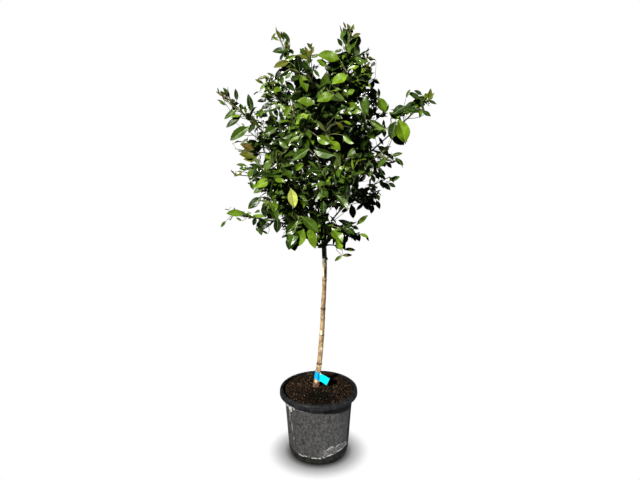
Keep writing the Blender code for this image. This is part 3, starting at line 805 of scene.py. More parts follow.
def collared(stations, parent_radius):
    """Widens a limb where it leaves its parent."""
    shaped = []
    for station in stations:
        run = (station.place - stations[0].place).length - parent_radius
        widening = 1.0 + COLLAR_WIDENING * max(0.0, 1.0 - max(0.0, run) / COLLAR) ** 2
        shaped.append(Station(station.place, station.radius * widening))
    return shaped


joined = bmesh.new()
scratch = bpy.data.meshes.new("scratch")
for spray in SPRAYS[1:]:
    stations = collared(limb_stretch(LIMBS[spray.name], 0.0, 1.0, BOUGH_RINGS), parent_station(spray).radius)
    body = limb_body(stations, BOUGH_SIDES, bough_relief)
    body.to_mesh(scratch)
    body.free()
    joined.from_mesh(scratch)
bpy.data.meshes.remove(scratch)
bough_bark, tree, sockets = new_material("bough bark", 0.62)
tone = use_group(tree, patchy, First=(0.050, 0.060, 0.022), Second=(0.105, 0.085, 0.045),
                 Scale=48.0, Low=0.40, High=0.60)
x, y, _ = split(object_place(tree))
outward = add_range(distance(x - CROWN_X, y), 0.12, 0.28)
dress(tree, sockets, add_mix(outward, tone["Colour"], TIP_GREEN), 300.0, 0.0005)
bough_nodes = ["bough_" + spray.name for spray in SPRAYS[1:]]
finish_piece("boughs", mesh_of("boughs", joined, 60.0), bough_bark, bough_nodes)

# %% [markdown]
# ## Leaf shapes
# A lemon leaf is a glossy pointed oval on a short stalk, folded a little along its midrib, with an
# edge that waves. One grid is bent into each of a few shapes: flat, folded, drooping and the
# narrow young leaf of a shoot's tip. The midrib is a separate thin strip that stands just proud of
# the blade, because at this size its pale line shows.

# %% Leaf shapes
LEAF_STEPS = 8
BLADE_STEPS = 4
STALK_SHARE = 0.10
STALK_WIDTH = 0.016
RIB_WIDTH = 0.011
RIB_LIFT = 0.006


def blade_width(t):
    """Half the blade's width at a share of its length, as a share of the widest."""
    if t <= STALK_SHARE:
        return 0.0
    share = (t - STALK_SHARE) / (1.0 - STALK_SHARE)
    return math.sin(math.pi * share**0.84) ** between(0.58, 0.86, share)


def shaped_grid(across, width, fold, droop, wave, lift=0.0, strip=0.0):
    """A leaf of length 1 from its root at the origin along +X, face up. A strip is a midrib."""
    bm = bmesh.new()
    bmesh.ops.create_grid(bm, x_segments=LEAF_STEPS, y_segments=across, size=0.5)
    for vert in bm.verts:
        t, s = vert.co.x + 0.5, vert.co.y * 2.0
        if strip:
            half = strip * (1.0 - 0.75 * t)
        elif t > 0.999:
            half = 0.0
        else:
            half = max(blade_width(t) * width / 2, STALK_WIDTH / 2 * (1 - 0.5 * t))
        edge = abs(s) * half
        rise = fold * edge - droop * t * t + wave * edge * math.sin(t * 9.0 + (1.3 if s > 0 else 0.0)) + lift
        vert.co = Vector((t * (1.0 - 0.25 * droop), s * half, rise))
    bmesh.ops.remove_doubles(bm, verts=bm.verts, dist=1e-5)
    return bm


Shape = namedtuple("Shape", "name width fold droop wave")
SHAPES = (
    Shape("flat", 0.47, 0.26, 0.08, 0.12),
    Shape("folded", 0.43, 0.55, 0.10, 0.10),
    Shape("drooping", 0.46, 0.30, 0.34, 0.22),
    Shape("waved", 0.48, 0.24, 0.16, 0.42),
    Shape("broad", 0.58, 0.40, 0.16, 0.20),
    Shape("slender", 0.34, 0.30, 0.08, 0.10),
    Shape("young", 0.28, 0.60, -0.10, 0.08),
)


def arrays_of(bm):
    """A mesh as arrays: its points, the corners of its faces in a row, and each face's corner count."""
    points = np.array([vert.co for vert in bm.verts])
    counts = np.array([len(face.verts) for face in bm.faces])
    corners = np.array([vert.index for face in bm.faces for vert in face.verts])
    bm.free()
    return points, corners, counts


blades, ribs = {}, {}
for shape in SHAPES:
    bends = (shape.width, shape.fold, shape.droop, shape.wave)
    blades[shape.name] = arrays_of(shaped_grid(BLADE_STEPS, *bends))
    ribs[shape.name] = arrays_of(shaped_grid(1, *bends, lift=RIB_LIFT, strip=RIB_WIDTH))
print("leaf shapes", {name: len(arrays[2]) for name, arrays in blades.items()})

# %% [markdown]
# ## Growing the sprays
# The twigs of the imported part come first, by the same rule and the same dice: they leave the
# spray's stem by the golden angle and open less towards its tip. Then each twig carries finer
# twigs by that rule again, and leaves stand on all of them. A leaf that would leave the spray's
# room, or touch the trunk or a bough, is skipped.

# %% Growth values
TWIG_FIRST = 0.10
TWIG_LAST = 0.90
TWIG_OPEN_LOW = math.radians(72.0)
TWIG_OPEN_HIGH = math.radians(38.0)
TWIG_RISE = 0.22
TWIG_SHARE = 0.80
TWIG_RETRY = 0.7
TWIG_RADIUS = 0.0019
TWIG_SAG = 0.06
FINE_SPACING = 0.021
FINE_LENGTH = 0.046
FINE_OPEN = math.radians(52.0)
FINE_RADIUS = 0.0011
FINE_SAG = 0.04
FINE_OVER_THE_WALL = 0.015
LEAF_SPACING = 0.0130
OVER_THE_WALL = 0.030
OVER_THE_ROOM = 0.004
INNER_FIRST = 0.30
INNER_FIRST_ON_LEADER = 0.12
INNER_ROOM = 0.105
INNER_LENGTH = 0.072
INNER_SPACING = 0.020
INNER_LEAF = 0.056
SPRAY_LEAVES = 1.10
YOUNG_FROM = 0.72
YOUNG_LENGTH = 0.80
USUAL_SHAPES = ("flat", "folded", "drooping", "waved")
YOUNG_KINDS = ("olive", "olive", "bronze", "fresh", "deep")
# How a leaf runs: so much along its twig, so much out from it, and from so much to so much upwards
YOUNG_RUN = (1.3, 0.65, 0.1, 0.7)
USUAL_RUN = (0.5, 0.85, -0.50, 0.30)
# Freshness also falls towards the crown's inside, so the darker greens there are partly painted shade
TONES = ((0.82, "lime"), (0.60, "fresh"), (0.32, "mid"), (0.10, "deep"))  # The least freshness for each
CROWN_HALF = 0.30

Leaf = namedtuple("Leaf", "root along face length shape kind")

# %% [markdown]
# Some thin shoots carry the crown's outline further than the main twigs do. Each leaves a limb at
# a share of its length and runs to a tip. And the crown isn't closed everywhere: through a few
# places the sky shows, so nothing grows along those lines of sight.

# %% Shoots and openings
Shoot = namedtuple("Shoot", "name limb share tip room leaf young fill", defaults=(1.0,))
SHOOTS = (
    Shoot("tip_left", "top_left", 0.84, (-0.148, -0.015, 1.752), 0.034, 0.034, 1.0, 0.55),
    Shoot("tip_middle", "top_left", 0.55, (-0.032, -0.055, 1.700), 0.042, 0.034, 1.0),
    Shoot("tip_right", "top_right", 0.86, (0.122, -0.015, 1.762), 0.030, 0.044, 0.8, 0.55),
    Shoot("shoulder_right", "upper_right", 0.62, (0.185, -0.020, 1.690), 0.045, 0.042, 0.6),
    Shoot("tuft_left", "upper_left", 0.72, (-0.215, -0.020, 1.605), 0.050, 0.036, 0.8),
    Shoot("edge_left", "left_shoulder", 0.62, (-0.320, -0.045, 1.335), 0.060, 0.044, 0.7),
    Shoot("edge_low_left", "mid_left", 0.75, (-0.335, -0.060, 1.240), 0.042, 0.034, 0.5),
    Shoot("edge_right", "mid_right", 0.70, (0.302, -0.030, 1.236), 0.045, 0.040, 0.3),
    Shoot("edge_low_right", "mid_right", 0.60, (0.262, -0.050, 1.140), 0.045, 0.040, 0.1),
    Shoot("lift_right", "right_shoulder", 0.60, (0.225, -0.030, 1.545), 0.055, 0.044, 0.3),
    Shoot("shoot_left_end", "left_shoot", 0.80, (-0.372, -0.045, 1.545), 0.032, 0.030, 1.0, 0.70),
    Shoot("shoot_right_end", "right_shoot", 0.82, (0.432, -0.020, 1.535), 0.032, 0.044, 0.8, 0.65),
    Shoot("front_low_left", "low_left", 0.55, (-0.200, -0.100, 1.045), 0.060, 0.050, 0.1),
    Shoot("front_low", "low_front", 0.70, (-0.060, -0.190, 1.030), 0.060, 0.072, 0.3),
    Shoot("low_edge_right", "low_right", 0.70, (0.185, -0.100, 1.005), 0.045, 0.040, 0.2, 0.7),
    Shoot("hanging", "low_tuft", 0.50, (0.105, -0.105, 0.930), 0.030, 0.038, 0.6, 0.45),
    Shoot("front_middle", "mid_front_right", 0.75, (0.060, -0.270, 1.300), 0.075, 0.052, 0.4),
    Shoot("front_left", "mid_front_left", 0.80, (-0.150, -0.250, 1.330), 0.080, 0.048, 0.4),
    Shoot("front_high", "upper_front", 0.75, (0.020, -0.250, 1.560), 0.075, 0.055, 0.5),
)
# Places on the upright plane through the trunk, and how wide the opening is there
OPENINGS = (
    (-0.090, 1.743, 0.020), (0.062, 1.715, 0.014), (0.006, 1.743, 0.028), (0.264, 1.620, 0.030),
    (0.246, 1.568, 0.020), (0.300, 1.545, 0.040), (0.361, 1.432, 0.026), (0.263, 1.355, 0.018),
    (0.334, 1.312, 0.018), (0.220, 1.363, 0.012), (0.321, 1.225, 0.014), (0.094, 1.063, 0.028),
    (0.134, 1.088, 0.020), (0.054, 1.079, 0.014), (0.174, 1.067, 0.014), (0.265, 1.104, 0.018),
    (0.215, 1.005, 0.012), (-0.379, 1.447, 0.026), (-0.393, 1.394, 0.020), (-0.330, 1.300, 0.014),
    (-0.345, 1.213, 0.014), (-0.318, 1.180, 0.016), (-0.348, 1.132, 0.022), (-0.315, 1.440, 0.010),
    (-0.292, 1.385, 0.010), (-0.398, 1.067, 0.012), (-0.335, 1.022, 0.014), (-0.159, 0.993, 0.012),
    (-0.123, 0.955, 0.012), (0.165, 1.775, 0.020), (0.175, 1.728, 0.016), (0.236, 1.660, 0.014),
    (0.402, 1.590, 0.018), (-0.241, 1.583, 0.028), (-0.276, 1.545, 0.016), (-0.214, 1.598, 0.010),
    (-0.166, 1.722, 0.018), (-0.082, 1.704, 0.012), (0.006, 1.620, 0.022), (0.079, 1.776, 0.010),
    (0.096, 1.709, 0.008), (0.203, 1.693, 0.008), (0.218, 1.631, 0.014), (0.240, 1.642, 0.016),
    (0.231, 1.553, 0.010), (0.251, 1.500, 0.018), (0.341, 1.525, 0.010), (0.364, 1.562, 0.010),
    (0.399, 1.549, 0.008), (0.445, 1.466, 0.010), (0.396, 1.440, 0.012), (0.269, 1.409, 0.010),
    (0.295, 1.331, 0.012), (0.291, 1.261, 0.012), (0.178, 1.189, 0.018), (0.223, 1.201, 0.010),
    (0.264, 1.149, 0.014), (0.136, 1.049, 0.014), (0.177, 1.038, 0.008), (0.191, 1.009, 0.008),
    (0.168, 0.970, 0.010), (0.184, 0.951, 0.014), (0.132, 0.945, 0.014), (0.043, 0.892, 0.020),
    (0.128, 0.892, 0.010), (0.092, 0.879, 0.010), (-0.055, 0.930, 0.020), (-0.212, 0.972, 0.016),
    (-0.189, 1.022, 0.012), (-0.291, 1.022, 0.014), (-0.345, 1.030, 0.014), (-0.314, 1.047, 0.010),
    (-0.360, 1.112, 0.018), (-0.329, 1.100, 0.012), (-0.289, 1.104, 0.014), (-0.287, 1.169, 0.018),
    (-0.297, 1.217, 0.012), (-0.354, 1.229, 0.012), (-0.329, 1.331, 0.018), (-0.277, 1.386, 0.010),
    (-0.254, 1.390, 0.010), (-0.234, 1.394, 0.010), (-0.283, 1.434, 0.012), (-0.311, 1.468, 0.008),
    (-0.281, 1.506, 0.012), (-0.258, 1.519, 0.012), (-0.333, 1.549, 0.010), (-0.307, 1.527, 0.010),
    (-0.197, 1.682, 0.016), (-0.171, 1.656, 0.016), (0.383, 1.568, 0.012), (0.453, 1.545, 0.012),
    (0.440, 1.487, 0.010), (0.423, 1.440, 0.012), (0.275, 1.497, 0.012), (0.213, 1.682, 0.012),
    (-0.349, 1.328, 0.016), (-0.411, 1.047, 0.016), (-0.123, 0.947, 0.012), (0.073, 1.776, 0.012),
    (-0.250, 1.378, 0.012),
)

# The same for places that are cleared again after the growth. The centres of most were listed by a
# program that compared a render with the photograph, and their radii were chosen by hand.
CLEARED = (
    (-0.326, 1.417, 0.0117), (0.225, 1.341, 0.0125), (-0.192, 1.006, 0.0117), (0.340, 1.512, 0.0101),
    (-0.285, 1.378, 0.0117), (-0.067, 0.934, 0.0086), (0.337, 1.448, 0.0117), (-0.211, 1.620, 0.0097),
    (0.062, 1.059, 0.0117), (0.261, 1.370, 0.0125), (-0.279, 1.280, 0.0117), (0.210, 1.442, 0.0094),
    (-0.325, 1.258, 0.0101), (-0.368, 1.053, 0.0101), (0.170, 1.028, 0.0090), (-0.017, 1.660, 0.0086),
    (-0.357, 1.484, 0.0094), (-0.257, 1.385, 0.0109), (-0.128, 0.960, 0.0094), (-0.153, 1.682, 0.0109),
    (-0.134, 1.719, 0.0101), (0.289, 1.360, 0.0097), (0.269, 1.251, 0.0094), (0.305, 1.304, 0.0101),
    (0.192, 1.209, 0.0086), (0.111, 1.791, 0.0086), (0.223, 1.580, 0.0078), (-0.396, 1.090, 0.0078),
    (0.091, 1.059, 0.0094), (0.163, 1.742, 0.0101), (-0.216, 1.321, 0.0094), (-0.296, 1.230, 0.0086),
    (0.183, 0.995, 0.0078), (-0.131, 1.591, 0.0086), (0.280, 1.428, 0.0086), (0.151, 1.088, 0.0094),
    (0.140, 1.046, 0.0086), (0.089, 1.708, 0.0078), (-0.314, 1.470, 0.0078), (-0.280, 1.005, 0.0094),
    (0.115, 0.934, 0.0133), (0.119, 0.959, 0.0109), (0.100, 0.902, 0.0078), (0.209, 1.707, 0.0117),
    (0.216, 1.627, 0.0078), (-0.207, 1.412, 0.0105), (0.215, 1.441, 0.0094), (-0.128, 0.959, 0.0094),
    (-0.299, 1.368, 0.0105), (0.250, 1.508, 0.0086), (0.272, 1.380, 0.0094), (0.230, 1.341, 0.0105),
    (0.269, 1.348, 0.0094), (-0.256, 1.386, 0.0094), (0.296, 1.354, 0.0094), (0.303, 1.316, 0.0101),
    (-0.192, 1.027, 0.0101), (-0.306, 1.300, 0.0094), (-0.295, 1.048, 0.0086), (-0.195, 1.444, 0.0086),
    (0.216, 1.306, 0.0086), (-0.293, 1.197, 0.0101), (0.056, 1.742, 0.0078), (-0.132, 1.717, 0.0086),
    (-0.325, 1.525, 0.0094), (-0.277, 1.450, 0.0078), (-0.221, 1.306, 0.0086), (-0.263, 1.134, 0.0086),
    (0.269, 1.432, 0.0078), (0.214, 1.375, 0.0078), (0.224, 1.187, 0.0101), (-0.125, 0.932, 0.0070),
    (0.284, 1.177, 0.0070), (-0.272, 1.083, 0.0078), (-0.143, 1.005, 0.0078), (0.337, 1.449, 0.0086),
    (0.067, 1.057, 0.0094),
)

# %% Growing
segments, segment_radii = [], []
bough_runs = [limb_stretch(LIMBS[spray.name], 0.0, ENTRIES[spray.name], 6) for spray in SPRAYS[1:]]
for stations in [trunk_run[::6]] + bough_runs:
    for low, high in zip(stations, stations[1:]):
        segments.append((low.place, high.place))
        segment_radii.append(max(low.radius, high.radius))
SEGMENT_START = np.array([start for start, _ in segments])
SEGMENT_RUN = np.array([end - start for start, end in segments])
SEGMENT_RADIUS = np.array(segment_radii)


def sight_lines(table):
    """The directions from the camera to a table's places, and the radius of each."""
    lines = np.array([(x, 0.0, z) for x, z, _ in table]) - np.array(CAMERA_PLACE)
    return lines / np.linalg.norm(lines, axis=1)[:, None], np.array([radius for _, _, radius in table])


SIGHT = sight_lines(OPENINGS)
print("segments of limbs", len(SEGMENT_RUN), "openings", len(OPENINGS))


def nearest_gap(point, starts, runs):
    """The distance from a point to each of a row of segments."""
    point = np.asarray(point)
    share = ((point - starts) * runs).sum(axis=1) / (runs**2).sum(axis=1)
    nearest = starts + runs * np.clip(share, 0.0, 1.0)[:, None]
    return np.linalg.norm(point - nearest, axis=1)


def in_lines(points, sight):
    """For each point, whether it lies within the radius of one of the lines of sight."""
    lines, radii = sight
    away = np.asarray(points) - np.array(CAMERA_PLACE)
    beside = (away**2).sum(axis=-1)[..., None] - (away @ lines.T) ** 2
    return (beside < radii**2).any(axis=-1)


def in_opening(point):
    return in_lines(point, SIGHT)


class FineGrower:
    """Grows twigs and leaves at their real size round one line of stations."""

    def __init__(self, name, stations, room, leaf, young, fill=1.0, own=None):
        self.places = [station.place for station in stations]
        self.line_start = np.array(self.places[:-1])
        self.line_run = np.array([b - a for a, b in zip(self.places, self.places[1:])])
        self.room, self.leaf, self.young, self.fill = room, leaf, young, fill
        self.own = own
        self.dice = random.Random(name)
        self.fine_dice = random.Random(name + " fine")
        self.twigs, self.leaves = [], []

    def inside(self, point, over_wall, over_room):
        """Whether a point is in the room, or past its walls by no more than is given, and in no opening."""
        near = nearest_gap(point, self.line_start, self.line_run).min()
        kept = near < self.room + over_room and not in_opening(point)
        return kept and (self.own is None or room_to_wall(point, self.own) > -over_wall)

    def add_twig(self, root, direction, length, radius, over_wall, sag):
        """Adds a twig if it stays in the room, if need be a shorter one, and gives its line."""
        for run in (length, length * TWIG_RETRY):
            end = root + (direction + UP * TWIG_RISE) * run
            if self.inside(end, over_wall, 0.0):
                middle = (root + end) / 2 - UP * sag * run
                twig = [Station(root, radius), Station(middle, radius * 0.85), Station(end, radius * 0.6)]
                self.twigs.append(twig)
                return [station.place for station in twig]
        return None

    def first_twigs(self, count):
        """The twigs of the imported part."""
        grown = []
        for i in range(count):
            share = between(TWIG_FIRST, TWIG_LAST, i / (count - 1))
            root, tangent = place_and_tangent(self.places, share)
            azimuth = i * GOLDEN_ANGLE + self.dice.uniform(-0.3, 0.3)
            opening = between(TWIG_OPEN_LOW, TWIG_OPEN_HIGH, share)
            direction = tangent * math.cos(opening) + side_at(tangent, azimuth) * math.sin(opening)
            length = self.room * TWIG_SHARE * (0.6 + 0.4 * math.sin(math.pi * share))
            line = self.add_twig(root, direction, length, TWIG_RADIUS, 0.0, TWIG_SAG)
            if line:
                grown.append((line, azimuth))
        return grown

    def fine_twigs(self, line, azimuth, first, spacing=FINE_SPACING, usual=FINE_LENGTH):
        """Twigs that leave a line from its share first on, each with its line and the turn it leaves by."""
        dice = self.fine_dice
        run = sum((b - a).length for a, b in zip(line, line[1:]))
        count = max(2, round(run * (1 - first) / spacing))
        grown = []
        for i in range(count):
            share = between(first, 0.96, i / (count - 1))
            root, tangent = place_and_tangent(line, share)
            turn = azimuth + i * GOLDEN_ANGLE + dice.uniform(-0.4, 0.4)
            opening = FINE_OPEN * dice.uniform(0.7, 1.2)
            direction = tangent * math.cos(opening) + side_at(tangent, turn) * math.sin(opening)
            length = usual * dice.uniform(0.65, 1.25)
            fine = self.add_twig(root, direction, length, FINE_RADIUS, FINE_OVER_THE_WALL, FINE_SAG)
            if fine:
                grown.append((fine, turn))
        return grown

    def tone_of(self, outward):
        """A young spray has more fresh colours, and its outer leaves have more than its inner ones. The inner
        leaves' darker greens are partly their age and partly painted shade inside the crown.
        """
        fresh = self.young * 0.30 + 0.36 * outward + self.fine_dice.uniform(-0.36, 0.42)
        for least, kind in TONES:
            if fresh > least:
                return kind
        return "dark"

    def add_leaf(self, root, tangent, azimuth, length, young, outward):
        dice = self.fine_dice
        side = side_at(tangent, azimuth)
        onwards, outwards, *upwards = YOUNG_RUN if young else USUAL_RUN
        along = (tangent * onwards + side * outwards + UP * dice.uniform(*upwards)).normalized()
        sky = UP * 0.65 + SUN_FROM.normalized() * 0.55 + side * 0.2
        sky += Vector([dice.uniform(-0.9, 0.9) for _ in range(3)])
        face = (sky - along * sky.dot(along)).normalized()
        length *= dice.uniform(0.72, 1.30)
        width = face.cross(along) * length * 0.22
        tip, middle = root + along * length, root + along * length * 0.55
        corners = (tip, middle + width, middle - width)
        kept = all(self.inside(corner, OVER_THE_WALL, OVER_THE_ROOM) for corner in corners)
        kept = kept and not (in_opening(root + along * length * 0.3) or in_opening(root + along * length * 0.8))
        for share in (0.35, 0.7, 1.0):
            gaps = nearest_gap(root + along * length * share, SEGMENT_START, SEGMENT_RUN)
            kept = kept and (gaps > SEGMENT_RADIUS + 0.001).all()
        if young:
            shape, kind = "young", dice.choice(YOUNG_KINDS)
        else:
            shape, kind = dice.choice(USUAL_SHAPES), self.tone_of(outward)
        if kept and dice.random() < self.fill:
            self.leaves.append(Leaf(root, along, face, length, shape, kind))

    def leaves_on(self, line, azimuth, first, tip_is_young):
        run = sum((b - a).length for a, b in zip(line, line[1:]))
        count = max(2, round(run * (1 - first) / LEAF_SPACING))
        for i in range(count):
            share = between(first, 1.0, i / (count - 1))
            root, tangent = place_and_tangent(line, share)
            young = tip_is_young and share > YOUNG_FROM
            length = self.leaf * between(1.20, 0.85, share) * (YOUNG_LENGTH if young else 1.0)
            away = (root - Vector((CROWN_X, 0.0, root.z))).length
            self.add_leaf(root, tangent, azimuth + i * GOLDEN_ANGLE, length, young, min(1.0, away / CROWN_HALF))

    def grow(self, first_count=0, leaf_from=0.55):
        first = self.first_twigs(first_count) if first_count else []
        fine = self.fine_twigs(self.places, 0.7, 0.12)
        for line, azimuth in first:
            fine += self.fine_twigs(line, azimuth, 0.22)
        self.leaves_on(self.places, 1.0, leaf_from, self.young > 0.3)
        for line, azimuth in first + fine:
            self.leaves_on(line, azimuth, 0.22, self.fine_dice.random() < self.young * 0.8)
        self.drop_bare(fine)

    def drop_bare(self, lines):
        """Takes away the fine twigs that got no leaf."""
        carrying = np.array([leaf.root for leaf in self.leaves] or [(0.0, 0.0, 9.0)])
        for line, _ in lines:
            reach = (line[-1] - line[0]).length * 0.6
            if np.linalg.norm(carrying - np.array(line[1]), axis=1).min() > reach:
                self.twigs = [twig for twig in self.twigs if twig[0].place is not line[0]]

    def grow_inner(self):
        """Short twigs along a bough's inner part, with fine twigs and old dark leaves on them; their darkness is
        partly painted shade inside the crown.
        """
        for line, azimuth in self.fine_twigs(self.places, 0.3, 0.0, INNER_SPACING, INNER_LENGTH):
            for fine, turn in [(line, azimuth)] + self.fine_twigs(line, azimuth, 0.35):
                self.leaves_on(fine, turn, 0.25, False)


# %% Grow every spray
SPRAY_STATIONS = 5
SHOOT_STATIONS = 8
SHOOT_RADIUS = 0.0028
SHOOT_SAG = 0.006
all_twigs, all_leaves, shoot_runs = [], [], []


def keep(grower):
    all_twigs.extend(grower.twigs)
    all_leaves.extend(grower.leaves)


for own, spray in enumerate(SPRAYS):
    stations = limb_stretch(LIMBS[spray.name], ENTRIES[spray.name], 1.0, SPRAY_STATIONS)
    grower = FineGrower(spray.name, stations, spray.room, spray.leaf * SPRAY_LEAVES, spray.young, spray.fill, own)
    grower.grow(spray.twigs)
    keep(grower)
print("sprays", len(all_twigs), "twigs", len(all_leaves), "leaves")
for own, spray in enumerate(SPRAYS):
    first = INNER_FIRST if own else INNER_FIRST_ON_LEADER
    stations = limb_stretch(LIMBS[spray.name], first, ENTRIES[spray.name], SPRAY_STATIONS)
    grower = FineGrower(spray.name + " inner", stations, INNER_ROOM, INNER_LEAF, 0.0)
    grower.grow_inner()
    keep(grower)
print("with inner growth", len(all_twigs), "twigs", len(all_leaves), "leaves")
for shoot in SHOOTS:
    start = limb_station(LIMBS[shoot.limb], shoot.share)
    tip = Vector(shoot.tip)
    bow = (start.place + tip) / 2 - UP * SHOOT_SAG
    limb = Limb(start.place, bow, tip, min(start.radius, SHOOT_RADIUS))
    stations = limb_stretch(limb, 0.0, 1.0, SHOOT_STATIONS)
    shoot_runs.append(stations)
    grower = FineGrower(shoot.name, stations, shoot.room, shoot.leaf, shoot.young, shoot.fill)
    grower.grow(leaf_from=0.35)
    keep(grower)
print("with shoots", len(all_twigs), "twigs", len(all_leaves), "leaves")

# %% [markdown]
# Then the growth is tidied as a gardener would. The leaves are taken off in some 80 more places,
# where a render had leaves and the photograph shows what is behind the crown, and each twig is cut
# back to the last leaf or side twig that it carries.

# %% Clear and cut back
ON_THE_TWIG = 0.08
NEAR_THE_SHOOT = 0.012
SHORTEST_SHOOT = 3


def sampled(leaf):
    """Points along a leaf's midrib and at the two sides of its middle."""
    run = leaf.along * leaf.length
    width = leaf.face.cross(leaf.along) * leaf.length * 0.20
    middle = leaf.root + run * 0.5
    return [leaf.root + run * share for share in (0.2, 0.5, 0.75, 1.0)] + [middle + width, middle - width]


def cut_back(twigs, carried):
    """Ends each twig at the last of the carried roots on it. A twig that carries none is left out."""
    kept = []
    for twig in twigs:
        root, end = np.array(twig[0].place), np.array(twig[-1].place)
        run = end - root
        shares = (carried - root) @ run / (run @ run)
        beside = np.linalg.norm(carried - root - shares[:, None] * run, axis=1)
        on = shares[(beside < ON_THE_TWIG * np.linalg.norm(run)) & (shares > 0.05) & (shares < 1.02)]
        if not len(on):
            continue
        last = min(1.0, on.max() + 0.03)
        places = [station.place for station in twig]
        cut = [places[0], eased(places, last / 2), eased(places, last)]
        kept.append([Station(place, station.radius) for place, station in zip(cut, twig)])
    return kept


def cut_shoot(stations, carried):
    """Ends a shoot at its last station that is near one of the carried roots."""
    gaps = [np.linalg.norm(carried - np.array(station.place), axis=1).min() for station in stations]
    near = [i + 1 for i, gap in enumerate(gaps) if gap < NEAR_THE_SHOOT]
    return stations[:max([SHORTEST_SHOOT] + near)]


cleared = in_lines([sampled(leaf) for leaf in all_leaves], sight_lines(CLEARED)).any(axis=1)
all_leaves = [leaf for leaf, gone in zip(all_leaves, cleared) if not gone]
for _ in range(2):
    carried = np.array([leaf.root for leaf in all_leaves] + [twig[0].place for twig in all_twigs])
    all_twigs = cut_back(all_twigs, carried)
shoot_runs = [cut_shoot(stations, carried) for stations in shoot_runs]
print("cleared", int(cleared.sum()), "leaves, left", len(all_twigs), "twigs", len(all_leaves), "leaves")

# %% [markdown]
# ## Leaves that catch the eye
# Some leaves stand out in the photograph: the broad bright ones at the top and at the bottom, the
# long ones that hang from the left shoot, the narrow upright ones at the tips and one that has
# turned yellow. Others fill places where a render lacked a leaf or a bright spot: a program that
# compared it with the photograph listed those places, and the leaves were laid out on them by hand.
# Each gets its own place, and a thin twig ties it to the nearest growth. On some of them one half
# of the blade shines, because it nearly mirrors the strong light to the viewer.

# %% Leaves that catch the eye
FACE_X, FACE_Y, FACE_Z = -0.25, -0.80, 0.60
MIDDLE_BEND = 0.14
BESIDE_THE_MIRROR = math.radians(10.5)
TIE_RADII = (0.0013, 0.0012, 0.0010)
